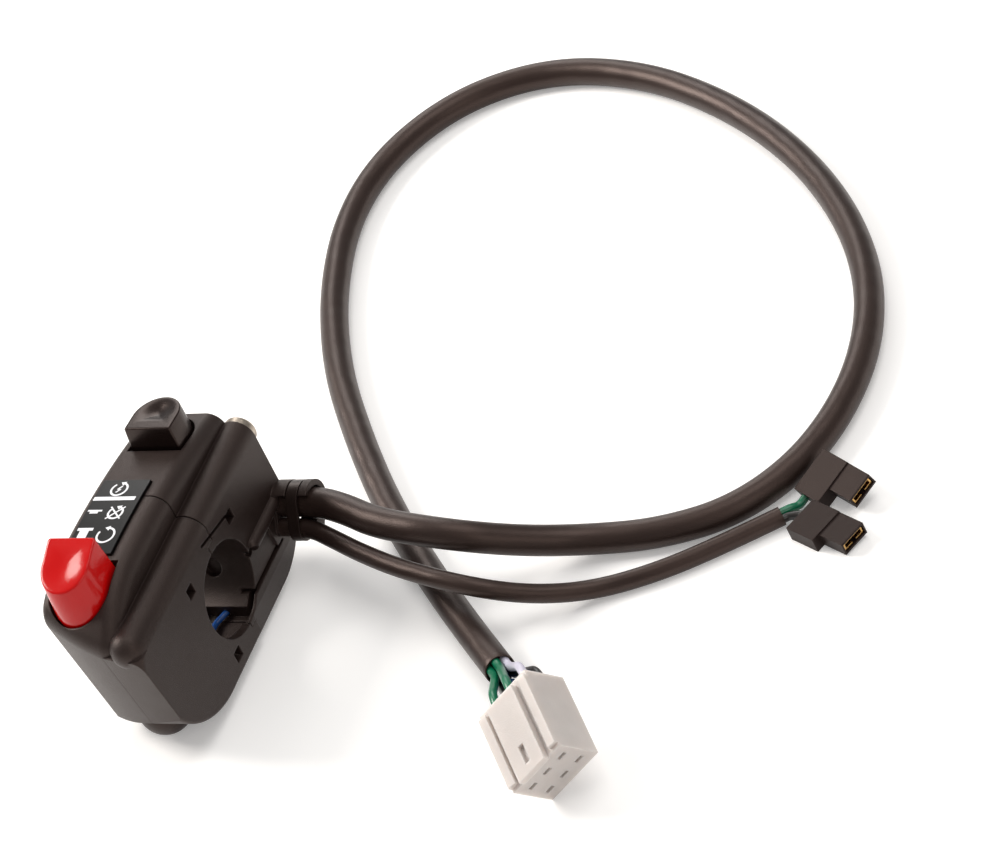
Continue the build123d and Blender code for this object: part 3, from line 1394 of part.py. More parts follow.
report_cable("main", main_route, cord_bend_limit, main_radius, main_cable)
report_cable("second", second_route, cord_bend_limit, second_radius, second_cable)
for name, route, lead in zip(lead_names, lead_routes, leads):
    report_cable(name, route, lead_bend_limit, lead_radius, lead)
report_cable("blade a lead", blade_a_route, lead_bend_limit, blade_lead_radius, blade_a_lead)
report_cable("blade b lead", blade_b_route, lead_bend_limit, blade_lead_radius, blade_b_lead)

pieces = {
    "upper_shell": upper_shell.part,
    "lower_shell": lower_shell.part,
    "label_plate": label_plate.part,
    "start_button": start_button.part,
    "start_contact_bridge": start_contact_bridge.part,
    "start_spring": start_spring,
    "start_switch_base": start_switch_base.part,
    "stop_button": stop_button.part,
    "stop_contact_bridge": stop_contact_bridge.part,
    "stop_spring": stop_spring,
    "latch_rotor": latch_rotor.part,
    "stop_switch_base": stop_switch_base.part,
    "front_clamp_screw": front_clamp_screw.part,
    "rear_clamp_screw": rear_clamp_screw.part,
    "front_insert": front_insert.part,
    "rear_insert": rear_insert.part,
    "cable_grommet": cable_grommet.part,
    "cable_tie": cable_tie.part,
    "start_wire": start_wire,
    "stop_wire": stop_wire,
    "main_cable": main_cable,
    "second_cable": second_cable,
    "plug_body": plug_body.part,
    "blade_a_cover": blade_a_holed.part,
    "blade_a_terminal": blade_a_terminal.part,
    "blade_a_lead": blade_a_lead,
    "blade_b_cover": blade_b_holed.part,
    "blade_b_terminal": blade_b_terminal.part,
    "blade_b_lead": blade_b_lead,
}
for side, start_terminal, stop_terminal in zip(("far", "near"), start_terminals, stop_terminals):
    pieces[f"start_terminal_{side}"] = start_terminal.part
    pieces[f"stop_terminal_{side}"] = stop_terminal.part
for side, start_place, stop_place in zip(("far", "near"), start_base_screws, stop_base_screws):
    pieces[f"start_base_screw_{side}"] = base_screw(start_place, start_base_top_z).part
    pieces[f"stop_base_screw_{side}"] = base_screw(stop_place, stop_base_thickness).part
for name, lead, contact in zip(lead_names, leads, plug_contacts):
    pieces[f"lead_{name}"] = lead
    pieces[f"plug_contact_{name}"] = contact.part

os.makedirs("parts", exist_ok=True)
for name, piece in pieces.items():
    piece.label = name
    export_step(piece, f"parts/{name}.step")
    print(name, round(piece.volume, 1), len(piece.solids()), piece.is_valid)
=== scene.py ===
import math

import bmesh
import bpy
from mathutils import Matrix, Vector


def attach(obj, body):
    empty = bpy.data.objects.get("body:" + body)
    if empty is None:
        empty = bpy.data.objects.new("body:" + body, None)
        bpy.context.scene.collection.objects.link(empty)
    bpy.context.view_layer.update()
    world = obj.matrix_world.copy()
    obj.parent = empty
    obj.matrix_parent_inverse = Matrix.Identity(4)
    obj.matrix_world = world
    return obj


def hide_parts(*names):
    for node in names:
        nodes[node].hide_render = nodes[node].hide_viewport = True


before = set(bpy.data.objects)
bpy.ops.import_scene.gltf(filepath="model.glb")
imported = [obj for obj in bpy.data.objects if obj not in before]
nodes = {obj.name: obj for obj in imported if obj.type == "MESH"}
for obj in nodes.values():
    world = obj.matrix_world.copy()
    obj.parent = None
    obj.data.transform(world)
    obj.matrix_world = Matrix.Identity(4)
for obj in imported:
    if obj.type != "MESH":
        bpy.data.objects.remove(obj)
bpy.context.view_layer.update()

mm = 0.001  # a millimetre in metres
hair = 0.001  # places nearer than this, in millimetres, count as the same
print("stage: frame loaded", len(nodes), "nodes")


# A six digit hex colour as linear RGBA
def srgb(value):
    channels = [int(value[i:i + 2], 16) / 255 for i in (0, 2, 4)]
    linear = [c / 12.92 if c <= 0.04045 else ((c + 0.055) / 1.055) ** 2.4 for c in channels]
    return (*linear, 1)


# Adds a shader node; each input is a constant or another node's output
def addNode(tree, kind, inputs=None, **attributes):
    node = tree.nodes.new(kind)
    for name, value in attributes.items():
        setattr(node, name, value)
    for name, value in (inputs or {}).items():
        if isinstance(value, bpy.types.NodeSocket):
            tree.links.new(value, node.inputs[name])
        else:
            node.inputs[name].default_value = value
    return node


# A stripe along the side of a wire that faces stripeSide, thinner as stripeLimit nears 1
def stripedColour(tree, colour, look):
    side = addNode(tree, "ShaderNodeTexCoord").outputs["Normal"]
    facing = addNode(
        tree, "ShaderNodeVectorMath", {0: side, 1: Vector(look["stripeSide"]).normalized()},
        operation="DOT_PRODUCT",
    )
    inside = addNode(
        tree, "ShaderNodeMath", {0: facing.outputs["Value"], 1: look["stripeLimit"]},
        operation="GREATER_THAN",
    )
    striped = addNode(
        tree, "ShaderNodeMix", {"Factor": inside.outputs[0], "A": colour, "B": srgb(look["stripe"])},
        data_type="RGBA",
    )
    return striped.outputs[2]


# What a look has unless it says otherwise; a metal keeps this IOR, the shader's own
plainLook = {
    "waveSize": 5, "waveHeight": 0.0, "metal": 0.0, "ior": 1.5, "specular": 0.5, "tint": "ffffff",
    "subsurface": 0.0, "radius": (0.002, 0.002, 0.002),
}
noiseDetail = {"toneSize": 3.0, "waveSize": 1.0, "grainSize": 2.0}
edgeSamples = 6


# A surface with a soft change of tone, fine grain, slow swells and rounded edge shading
def makeMaterial(name, ownLook):
    look = {**plainLook, **ownLook}
    material = bpy.data.materials.new(name)
    material.use_nodes = True
    tree = material.node_tree
    tree.nodes.clear()
    place = addNode(tree, "ShaderNodeTexCoord").outputs["Object"]
    noises = {}
    for kind, detail in noiseDetail.items():  # blobs about as wide as the size given
        noise = addNode(
            tree, "ShaderNodeTexNoise",
            {"Vector": place, "Scale": 1 / (look[kind] * mm), "Detail": detail},
        )
        noises[kind] = noise.outputs["Fac"]
    tone = noises["toneSize"]
    mix = addNode(
        tree, "ShaderNodeMix",
        {"Factor": tone, "A": srgb(look["dark"]), "B": srgb(look["light"])},
        data_type="RGBA",
    )
    colour = mix.outputs[2]
    if "stripe" in look:
        colour = stripedColour(tree, colour, look)
    edges = addNode(tree, "ShaderNodeBevel", {"Radius": look["edge"] * mm}, samples=edgeSamples)
    swell = addNode(
        tree, "ShaderNodeBump",
        {
            "Height": noises["waveSize"], "Strength": 1.0,
            "Distance": look["waveHeight"] * mm, "Normal": edges.outputs["Normal"],
        },
    )
    bump = addNode(
        tree, "ShaderNodeBump",
        {
            "Height": noises["grainSize"], "Strength": look["grainStrength"],
            "Distance": look["grainSize"] * mm, "Normal": swell.outputs["Normal"],
        },
    )
    rough = addNode(
        tree, "ShaderNodeMapRange",
        {
            "Value": tone, "To Min": look["rough"] - look["roughChange"],
            "To Max": look["rough"] + look["roughChange"],
        },
    )
    surface = addNode(
        tree, "ShaderNodeBsdfPrincipled",
        {
            "Base Color": colour, "Roughness": rough.outputs["Result"],
            "Normal": bump.outputs["Normal"], "Metallic": look["metal"],
            "IOR": look["ior"], "Specular IOR Level": look["specular"],
            "Specular Tint": srgb(look["tint"]),
            "Subsurface Weight": look["subsurface"], "Subsurface Radius": look["radius"],
            "Subsurface Scale": 1.0,
        },
    )
    out = addNode(tree, "ShaderNodeOutputMaterial")
    tree.links.new(surface.outputs[0], out.inputs["Surface"])
    return material


# Sizes of tone, grain, edge and swells are in millimetres, and how deep light gets in is in metres
looks = {
    # ABS moulded against a finely etched tool: dull, so that highlights spread wide and soft
    # its etched grain of about 0.05 mm is drawn at 0.22 mm so that it shows
    "mouldedAbs": {
        "dark": "1a1311", "light": "231916", "toneSize": 9, "grainSize": 0.22, "grainStrength": 0.3,
        "rough": 0.46, "roughChange": 0.05, "edge": 0.45, "ior": 1.54, "specular": 0.36,
        "tint": "ffe8e0",
    },
    # ABS from a polished tool: darker than the housing, with sharper highlights
    # the last ripple of the polish is drawn at 0.5 mm so that it shows
    "polishedAbs": {
        "dark": "110b0a", "light": "170f0d", "toneSize": 8, "grainSize": 0.5, "grainStrength": 0.03,
        "rough": 0.26, "roughChange": 0.03, "edge": 0.2, "ior": 1.54, "specular": 0.3,
        "tint": "ffded2",
    },
    # Polycarbonate moulded red in a polished tool: glossy, its colour a little deep
    "mouldedPolycarbonate": {
        "dark": "b50808", "light": "be0a0a", "toneSize": 8, "grainSize": 0.8, "grainStrength": 0.02,
        "rough": 0.12, "roughChange": 0.02, "edge": 0.2, "ior": 1.585, "specular": 0.22,
        "subsurface": 0.05, "radius": (0.002, 0.0004, 0.0003),
    },
    # Black polyester film, rolled smooth: an even dark gloss beside the dull housing
    "polyesterFilm": {
        "dark": "080707", "light": "0b0a0a", "toneSize": 6, "grainSize": 0.4, "grainStrength": 0.02,
        "rough": 0.32, "roughChange": 0.03, "edge": 0.1, "ior": 1.57, "specular": 0.25,
    },
    # White screen printed ink: matt, with edges and tone slightly uneven
    # the screen's weave of about 0.06 mm is drawn at 0.12 mm so that it shows
    "screenPrintedInk": {
        "dark": "d9dbe0", "light": "eceef2", "toneSize": 1.2, "grainSize": 0.12, "grainStrength": 0.15,
        "rough": 0.5, "roughChange": 0.05, "edge": 0.01, "ior": 1.5,
    },
    # Moulded phenolic of the switch bases: brown grey, dull and a little rough
    "mouldedPhenolic": {
        "dark": "3a332e", "light": "453e38", "toneSize": 5, "grainSize": 0.2, "grainStrength": 0.2,
        "rough": 0.5, "roughChange": 0.05, "edge": 0.15, "ior": 1.6,
    },
    # Moulded acetal of the rotor: off white with a waxy shine
    "mouldedAcetal": {
        "dark": "cfc8bb", "light": "ddd7cc", "toneSize": 3, "grainSize": 0.2, "grainStrength": 0.1,
        "rough": 0.4, "roughChange": 0.05, "edge": 0.1, "ior": 1.48,
    },
    # Zinc plated steel: bright and slightly warm, with clouds of tone in the plating
    "zincPlatedSteel": {
        "dark": "8a7d70", "light": "c4baae", "toneSize": 2.0, "grainSize": 0.12, "grainStrength": 0.15,
        "rough": 0.33, "roughChange": 0.08, "edge": 0.2, "metal": 1.0,
    },
    # Stamped or turned brass: yellow with soft clear reflections
    "stampedBrass": {
        "dark": "b98d4a", "light": "dab277", "toneSize": 2, "grainSize": 0.15, "grainStrength": 0.08,
        "rough": 0.26, "roughChange": 0.06, "edge": 0.08, "metal": 1.0,
    },
    # Brass dipped in tin: pale grey, softer than the brass beside it
    "tinnedBrass": {
        "dark": "a59d92", "light": "cfc8be", "toneSize": 1.5, "grainSize": 0.15, "grainStrength": 0.08,
        "rough": 0.3, "roughChange": 0.05, "edge": 0.08, "metal": 1.0,
    },
    # Extruded soft PVC sleeve: satin, its long highlight waving where it was bent
    # its grain of about 0.1 mm is drawn at 0.35 mm so that it shows
    "extrudedSoftPvc": {
        "dark": "1a1210", "light": "261b17", "toneSize": 12, "grainSize": 0.35, "grainStrength": 0.14,
        "rough": 0.4, "roughChange": 0.06, "edge": 0.1, "ior": 1.53, "specular": 0.45,
        "tint": "ffe2d8", "waveSize": 9, "waveHeight": 0.4,
    },
    # Moulded rubber of the grommet: darkest of all, its light spread out
    "mouldedRubber": {
        "dark": "150f0d", "light": "1c1412", "toneSize": 4, "grainSize": 0.3, "grainStrength": 0.2,
        "rough": 0.45, "roughChange": 0.05, "edge": 0.3, "ior": 1.52, "tint": "ffe2d8",
    },
    # Moulded black nylon of the tie: smooth, with a thin bright line on its edges
    "mouldedBlackNylon": {
        "dark": "130d0b", "light": "1a1210", "toneSize": 3, "grainSize": 0.3, "grainStrength": 0.05,
        "rough": 0.34, "roughChange": 0.04, "edge": 0.25, "ior": 1.53, "specular": 0.35,
        "tint": "ffe2d8",
    },
    # Moulded uncoloured nylon: milky, as light passes a few millimetres into it
    "mouldedNaturalNylon": {
        "dark": "bcb5b1", "light": "ccc5c1", "toneSize": 6, "grainSize": 0.35, "grainStrength": 0.1,
        "rough": 0.34, "roughChange": 0.05, "edge": 0.35, "ior": 1.53, "subsurface": 0.7,
        "radius": (0.0036, 0.0032, 0.003),
    },
    # Vinyl dipped covers of the blades: dull with a faint grain
    # its grain of about 0.1 mm is drawn at 0.25 mm so that it shows
    "dippedVinyl": {
        "dark": "150e0d", "light": "1c1412", "toneSize": 5, "grainSize": 0.25, "grainStrength": 0.12,
        "rough": 0.5, "roughChange": 0.05, "edge": 0.3, "ior": 1.53, "specular": 0.25,
        "tint": "ffe2d8",
    },
    # Extruded green wire insulation: one clean highlight along the wire
    "extrudedGreenPvc": {
        "dark": "015a40", "light": "06744f", "toneSize": 4, "grainSize": 0.3, "grainStrength": 0.04,
        "rough": 0.3, "roughChange": 0.04, "edge": 0.05, "ior": 1.53,
    },
    # The same green with a thin pale tracer along its upper side
    "extrudedGreenTracerPvc": {
        "dark": "015a40", "light": "06744f", "toneSize": 4, "grainSize": 0.3, "grainStrength": 0.04,
        "rough": 0.3, "roughChange": 0.04, "edge": 0.05, "ior": 1.53, "stripe": "9db56a",
        "stripeSide": (0.1, -0.5, 0.85), "stripeLimit": 0.965,
    },
    # Extruded white wire insulation with a cool cast
    "extrudedWhitePvc": {
        "dark": "bbb7c8", "light": "ccc9d8", "toneSize": 4, "grainSize": 0.3, "grainStrength": 0.04,
        "rough": 0.32, "roughChange": 0.04, "edge": 0.05, "ior": 1.53,
    },
    # Extruded black wire insulation
    "extrudedBlackPvc": {
        "dark": "14100f", "light": "1d1816", "toneSize": 4, "grainSize": 0.3, "grainStrength": 0.04,
        "rough": 0.32, "roughChange": 0.04, "edge": 0.05, "ior": 1.53,
    },
    # The same black with an orange red tracer
    "extrudedBlackTracerPvc": {
        "dark": "14100f", "light": "1d1816", "toneSize": 4, "grainSize": 0.3, "grainStrength": 0.04,
        "rough": 0.32, "roughChange": 0.04, "edge": 0.05, "ior": 1.53, "stripe": "a8381c",
        "stripeSide": (0.5, -0.3, 0.8), "stripeLimit": 0.93,
    },
    # Extruded blue wire insulation, seen through the slot in the bore
    "extrudedBluePvc": {
        "dark": "123a78", "light": "1f56a0", "toneSize": 4, "grainSize": 0.3, "grainStrength": 0.04,
        "rough": 0.3, "roughChange": 0.04, "edge": 0.05, "ior": 1.53,
    },
}
materials = {name: makeMaterial(name, look) for name, look in looks.items()}

leadNames = ("green", "green_tracer", "white", "black", "blue", "black_tracer")
leadLooks = (
    "extrudedGreenPvc", "extrudedGreenTracerPvc", "extrudedWhitePvc", "extrudedBlackPvc",
    "extrudedBluePvc", "extrudedBlackTracerPvc",
)
nodeLooks = {
    "upper_shell": "mouldedAbs", "lower_shell": "mouldedAbs", "label_plate": "polyesterFilm",
    "start_button": "polishedAbs", "stop_button": "mouldedPolycarbonate", "latch_rotor": "mouldedAcetal",
    "start_contact_bridge": "stampedBrass", "stop_contact_bridge": "stampedBrass",
    "start_spring": "zincPlatedSteel", "stop_spring": "zincPlatedSteel",
    "start_switch_base": "mouldedPhenolic", "stop_switch_base": "mouldedPhenolic",
    "front_clamp_screw": "zincPlatedSteel", "rear_clamp_screw": "zincPlatedSteel",
    "front_insert": "stampedBrass", "rear_insert": "stampedBrass",
    "cable_grommet": "mouldedRubber", "cable_tie": "mouldedBlackNylon",
    "start_wire": "extrudedBlackPvc", "stop_wire": "extrudedBluePvc", "plug_body": "mouldedNaturalNylon",
    "main_cable": "extrudedSoftPvc", "second_cable": "extrudedSoftPvc",
    "blade_a_cover": "dippedVinyl", "blade_b_cover": "dippedVinyl",
    "blade_a_terminal": "stampedBrass", "blade_b_terminal": "stampedBrass",
    "blade_a_lead": "extrudedGreenPvc", "blade_b_lead": "extrudedBlackPvc",
}
for side in ("far", "near"):
    nodeLooks["start_terminal_" + side] = "stampedBrass"
    nodeLooks["stop_terminal_" + side] = "stampedBrass"
    nodeLooks["start_base_screw_" + side] = "zincPlatedSteel"
    nodeLooks["stop_base_screw_" + side] = "zincPlatedSteel"
for name, look in zip(leadNames, leadLooks):
    nodeLooks["lead_" + name] = look
    nodeLooks["plug_contact_" + name] = "tinnedBrass"
for name, look in nodeLooks.items():
    piece = nodes[name]
    piece.data.materials.clear()
    piece.data.materials.append(materials[look])
print("stage: materials on", len(nodeLooks), "nodes")


# Links a new object and gives it its body
def placePiece(piece, body):
    bpy.context.scene.collection.objects.link(piece)
    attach(piece, body)
    return piece


# Turns a bmesh in millimetres into a piece; a smoothAngle of 0 leaves it flat
def makePiece(name, form, look, body, smoothAngle):
    bmesh.ops.recalc_face_normals(form, faces=form.faces)
    bmesh.ops.scale(form, vec=(mm, mm, mm), verts=form.verts)
    mesh = bpy.data.meshes.new(name)
    for face in form.faces:
        face.smooth = smoothAngle > 0
    form.to_mesh(mesh)
    form.free()
    if smoothAngle > 0:
        mesh.set_sharp_from_angle(angle=math.radians(smoothAngle))
    mesh.materials.append(materials[look])
    return placePiece(bpy.data.objects.new(name, mesh), body)


# Extrudes one face, scales the new one about a point and lifts it
def pushFace(form, face, centre, ratio, lift):
    grown = bmesh.ops.extrude_face_region(form, geom=[face])["geom"]
    bmesh.ops.delete(form, geom=[face], context="FACES_ONLY")
    corners = [item for item in grown if isinstance(item, bmesh.types.BMVert)]
    bmesh.ops.scale(form, vec=(ratio, ratio, ratio), space=Matrix.Translation(-centre), verts=corners)
    bmesh.ops.translate(form, vec=(0, 0, lift), verts=corners)
    return [item for item in grown if isinstance(item, bmesh.types.BMFace)][0]


# The two cables: routes and radii in millimetres, as in the source, lengths and diameters in metres
mainCable = {
    "radius": 3.5, "diameter": 0.007, "length": 0.592, "exit": (0.0136, 0.0292, -0.0024),
    "look": "extrudedSoftPvc",
    "route": [
        (13.6, 29.2, -2.4), (22.0, 29.2, -2.4), (30.8, 26.2, -2.0), (41.0, 21.2, -1.7),
        (60.5, 17.6, -1.9), (73.0, 23.2, -9.8), (86.0, 29.0, -15.6), (101.5, 30.8, -15.8),
        (117.0, 37.0, -15.8), (128.2, 50.0, -15.8), (134.0, 67.5, -15.8), (134.8, 88.5, -15.8),
        (129.5, 111.0, -15.8), (117.5, 134.0, -15.8), (99.5, 156.5, -15.8), (76.0, 176.5, -15.8),
        (48.5, 191.8, -15.8), (20.5, 196.8, -15.8), (-2.5, 187.8, -15.8), (-16.2, 168.0, -15.8),
        (-19.4, 144.0, -15.8), (-13.0, 115.5, -15.8), (-1.0, 87.5, -15.8), (14.5, 63.0, -15.8),
        (32.0, 38.8, -15.8), (52.0, 16.2, -15.8), (66.5, 1.0, -15.5), (77.6, -10.4, -13.4),
    ],
}
secondCable = {
    "radius": 2.15, "diameter": 0.0043, "length": 0.128, "exit": (0.0136, 0.0248, -0.0061),
    "look": "extrudedSoftPvc",
    "route": [
        (13.6, 24.8, -6.1), (20.2, 24.8, -6.1), (28.6, 20.5, -5.8), (38.0, 15.6, -5.5),
        (50.0, 10.6, -5.4), (67.0, 6.0, -5.8), (78.5, 9.2, -12.0), (90.0, 14.8, -16.9),
        (104.0, 20.6, -17.15), (117.0, 28.8, -17.15), (128.2, 37.0, -17.15),
    ],
}
cableCounts = {"order": 3, "alongSteps": 16, "roundSteps": 8}


# One smooth curve of round section along a cable's route
def layCable(name, cable):
    curve = bpy.data.curves.new(name, "CURVE")
    curve.dimensions = "3D"
    spline = curve.splines.new("NURBS")
    spline.points.add(len(cable["route"]) - 1)
    for point, place in zip(spline.points, cable["route"]):
        point.co = (*(Vector(place) * mm), 1)
    spline.order_u = cableCounts["order"]
    spline.use_endpoint_u = True
    spline.resolution_u = cableCounts["alongSteps"]
    curve.bevel_depth = cable["radius"] * mm
    curve.bevel_resolution = cableCounts["roundSteps"]
    curve.use_fill_caps = True
    curve.materials.append(materials[cable["look"]])
    return placePiece(bpy.data.objects.new(name, curve), "housing")


# The open end of the main sleeve round its leads, a thin wall spun about the cable's line
lip = {
    "outer": 3.5, "inner": 3.16, "length": 1.7, "start": -0.3, "rounding": 0.12, "roundSteps": 2,
    "turns": 48, "smoothAngle": 40,
}


# Spins the wall's section, rounds its two outer rims and puts it at a route's end
def makeLip(name, route):
    form = bmesh.new()
    low, high = lip["start"], lip["start"] + lip["length"]
    section = ((lip["inner"], low), (lip["outer"], low), (lip["outer"], high), (lip["inner"], high))
    corners = [form.verts.new((radius, 0, height)) for radius, height in section]
    edges = [form.edges.new(pair) for pair in zip(corners, corners[1:] + corners[:1])]
    bmesh.ops.spin(
        form, geom=corners + edges, cent=(0, 0, 0), axis=(0, 0, 1), angle=2 * math.pi,
        steps=lip["turns"], use_merge=True,
    )
    rim = [edge for edge in form.edges if all(abs(vert.co.z - high) < hair for vert in edge.verts)]
    rim = [edge for edge in rim if abs(edge.verts[0].co.length - edge.verts[1].co.length) < hair]
    bmesh.ops.bevel(
        form, geom=rim, offset=lip["rounding"], segments=lip["roundSteps"], profile=0.5,
        affect="EDGES", material=-1,
    )
    way = (Vector(route[-1]) - Vector(route[-2])).to_track_quat("Z", "Y").to_matrix().to_4x4()
    bmesh.ops.transform(form, matrix=Matrix.Translation(route[-1]) @ way, verts=form.verts)
    makePiece(name, form, mainCable["look"], "housing", lip["smoothAngle"])


makeLip("main_sleeve_lip", mainCable["route"])
mainSleeve = layCable("main_sleeve", mainCable)
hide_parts("main_cable")
mainEnd = ["plug_body", "main_sleeve_lip"]
mainEnd += ["lead_" + name for name in leadNames] + ["plug_contact_" + name for name in leadNames]
secondSleeve = layCable("second_sleeve", secondCable)
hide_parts("second_cable")
print("stage: cables laid")


# Both buttons: a block with a half round end, walls that lean in, a rounded rim and a shallow dish;
# sizes are in millimetres, and way is the side along Y that the half round end looks to
buttons = {
    "start_button": {
        "body": "start_button_group", "slot": "button_black", "look": "polishedAbs",
        "x": -3.1, "way": 1, "width": 13.0, "length": 11.6, "flatY": 18.5,
        "topWidth": 11.8, "topLength": 11.0, "topFlatY": 19.3, "topFlatZ": 31.0, "topRoundZ": 30.2,
        "skirtLow": 20.2, "skirtHigh": 22.6,
        "wall": 2.2, "hollowTop": 26.2, "corner": 0.5, "rim": 0.3,
        "dishDepth": 0.9, "dishPlace": 0.54, "dishRadius": 4.7,
    },
    "stop_button": {
        "body": "stop_button_group", "slot": "button_red", "look": "mouldedPolycarbonate",
        "x": -3.5, "way": -1, "width": 14.0, "length": 13.6, "flatY": -17.3,
        "topWidth": 12.0, "topLength": 12.3, "topFlatY": -17.9, "topFlatZ": 35.35, "topRoundZ": 30.9,
        "skirtLow": 20.4, "skirtHigh": 22.4,
        "wall": 1.6, "hollowTop": 26.0, "corner": 0.8, "rim": 0.4,
        "dishDepth": 0.35, "dishPlace": 0.47, "dishRadius": 5.3,
    },
}
buttonDetail = {
    "roundSteps": 20, "cornerSteps": 4, "rimSteps": 4, "dishSteps": 14, "dishMiddle": 0.03,
    "roundGap": 0.02, "smoothAngle": 35, "steepest": 0.7,
}


# Rounds edges with the usual settings
def roundEdges(form, edges, radius, segments):
    bmesh.ops.bevel(
        form, geom=edges, offset=radius, offset_type="OFFSET", segments=segments, profile=0.5,
        affect="EDGES", material=-1, clamp_overlap=False,
    )


# The largest face that looks up (1) or down (-1)
def largestFace(form, side):
    form.normal_update()
    facing = [face for face in form.faces if face.normal.z * side > buttonDetail["steepest"]]
    return max(facing, key=lambda face: face.calc_area())


# The edges that stand upright
def uprightEdges(form):
    return [edge for edge in form.edges if (edge.verts[0].co - edge.verts[1].co).xy.length < hair]


# Shapes one button from a block and lets it stand for its CAD node
def makeButton(name, size):
    form = bmesh.new()
    middleY = size["flatY"] + size["way"] * size["length"] / 2
    blockHeight = size["topFlatZ"] - size["skirtLow"]
    middle = Vector((size["x"], middleY, size["skirtLow"] + blockHeight / 2))
    block = Matrix.Diagonal((size["width"], size["length"], blockHeight, 1))
    bmesh.ops.create_cube(form, size=1, matrix=Matrix.Translation(middle) @ block)
    flatEnd = [
        edge for edge in uprightEdges(form) if (edge.verts[0].co.y - middleY) * size["way"] < 0
    ]
    roundEdges(form, flatEnd, size["corner"], buttonDetail["cornerSteps"])
    farY = size["flatY"] + size["way"] * size["length"]
    roundEnd = [edge for edge in uprightEdges(form) if abs(edge.verts[0].co.y - farY) < hair]
    roundRadius = size["width"] / 2 - buttonDetail["roundGap"]
    roundEdges(form, roundEnd, roundRadius, buttonDetail["roundSteps"])
    bmesh.ops.bisect_plane(
        form, geom=form.verts[:] + form.edges[:] + form.faces[:],
        plane_co=(0, 0, size["skirtHigh"]), plane_no=(0, 0, 1),
    )
    for vert in form.verts:  # the top is smaller, moved and slanted
        if vert.co.z > size["skirtHigh"] + hair:
            reach = (vert.co.y - size["flatY"]) * size["way"] * size["topLength"] / size["length"]
            slant = (size["topRoundZ"] - size["topFlatZ"]) * reach / size["topLength"]
            vert.co.x = size["x"] + (vert.co.x - size["x"]) * size["topWidth"] / size["width"]
            vert.co.y = size["topFlatY"] + size["way"] * reach
            vert.co.z = size["topFlatZ"] + slant
    top = largestFace(form, 1)
    roundEdges(form, list(top.edges), size["rim"], buttonDetail["rimSteps"])
    top = largestFace(form, 1)
    reach = size["topLength"] * size["dishPlace"]
    slant = (size["topRoundZ"] - size["topFlatZ"]) * size["dishPlace"]
    dishCentre = Vector((size["x"], size["topFlatY"] + size["way"] * reach, size["topFlatZ"] + slant))
    share, bowl = 1.0, []
    for step in range(1, buttonDetail["dishSteps"] + 1):
        nextShare = 1 - (1 - buttonDetail["dishMiddle"]) * step / buttonDetail["dishSteps"]
        top = pushFace(form, top, dishCentre, nextShare / share, 0)
        bowl += list(top.verts)
        share = nextShare
    for vert in bowl:  # a round bowl, level at its border
        away = (vert.co.xy - dishCentre.xy).length / size["dishRadius"]
        vert.co.z -= size["dishDepth"] * (1 + math.cos(math.pi * min(away, 1))) / 2
    bottom = largestFace(form, -1)  # the underside is hollow, with room for the switch
    floorCentre = Vector((middle.x, middle.y, size["skirtLow"]))
    narrowing = 1 - 2 * size["wall"] / size["width"]
    bottom = pushFace(form, bottom, floorCentre, narrowing, 0)
    pushFace(form, bottom, floorCentre, 1, size["hollowTop"] - size["skirtLow"])
    piece = makePiece(
        name + "_form", form, size["look"], size["body"], buttonDetail["smoothAngle"],
    )
    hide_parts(name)


for name, size in buttons.items():
    makeButton(name, size)
print("stage: buttons shaped")


# White marks printed on the label, in millimetres and degrees: the arc of the panel under them, how
# far the label stands proud of it, and the width of their lines
printing = {
    "arcRadius": 206.0, "crownY": -8.8, "crownZ": 27.2, "proud": 0.62, "thickness": 0.04,
    "line": 0.5, "ringSteps": 40, "arrowRadius": 0.8, "arrowLean": -12, "barSteps": (8, 4),
}
ringMarks = {
    "start_ring_mark": {"centre": (-5.0, 4.2), "radius": 1.95, "start": 130, "end": 440},
    "off_ring_mark": {"centre": (-2.5, -3.3), "radius": 1.75, "start": 130, "end": 440},
    "run_ring_mark": {"centre": (-1.95, -10.1), "radius": 2.1, "start": 150, "end": 455},
}
barMarks = {  # each bar has a middle, a length, a width and a turn
    "start_bolt_mark": [
        ((-4.96, 4.73), 1.3, 0.38, 47.5), ((-5.0, 4.2), 0.95, 0.38, -11.3),
        ((-5.04, 3.67), 1.3, 0.38, 47.5),
    ],
    "off_cross_mark": [((-2.5, -3.3), 5.2, 0.38, 45), ((-2.5, -3.3), 5.2, 0.38, -45)],
    "divider_mark": [((-4.85, 1.2), 10.7, 1.15, 0)],
    "pressed_mark": [((-8.05, -2.6), 3.7, 0.5, 0), ((-8.15, -3.15), 2.1, 0.62, 0)],
    "released_mark": [((-7.9, -8.3), 4.0, 0.8, 0), ((-7.95, -9.85), 2.3, 2.4, 0)],
}


# Gives flat marks their thickness and lays them on the panel's long arc
def printMark(name, form):
    raised = bmesh.ops.extrude_face_region(form, geom=list(form.faces), use_keep_orig=True)["geom"]
    lifted = [item for item in raised if isinstance(item, bmesh.types.BMVert)]
    bmesh.ops.translate(form, vec=(0, 0, printing["thickness"]), verts=lifted)
    base = printing["crownZ"] - printing["arcRadius"] + printing["proud"]
    for vert in form.verts:
        away = vert.co.y - printing["crownY"]
        vert.co.z += base + math.sqrt(printing["arcRadius"] ** 2 - away ** 2)
    makePiece(name, form, "screenPrintedInk", "housing", 0)


# A turn about Z
def turned(degrees):
    return Matrix.Rotation(math.radians(degrees), 4, "Z")


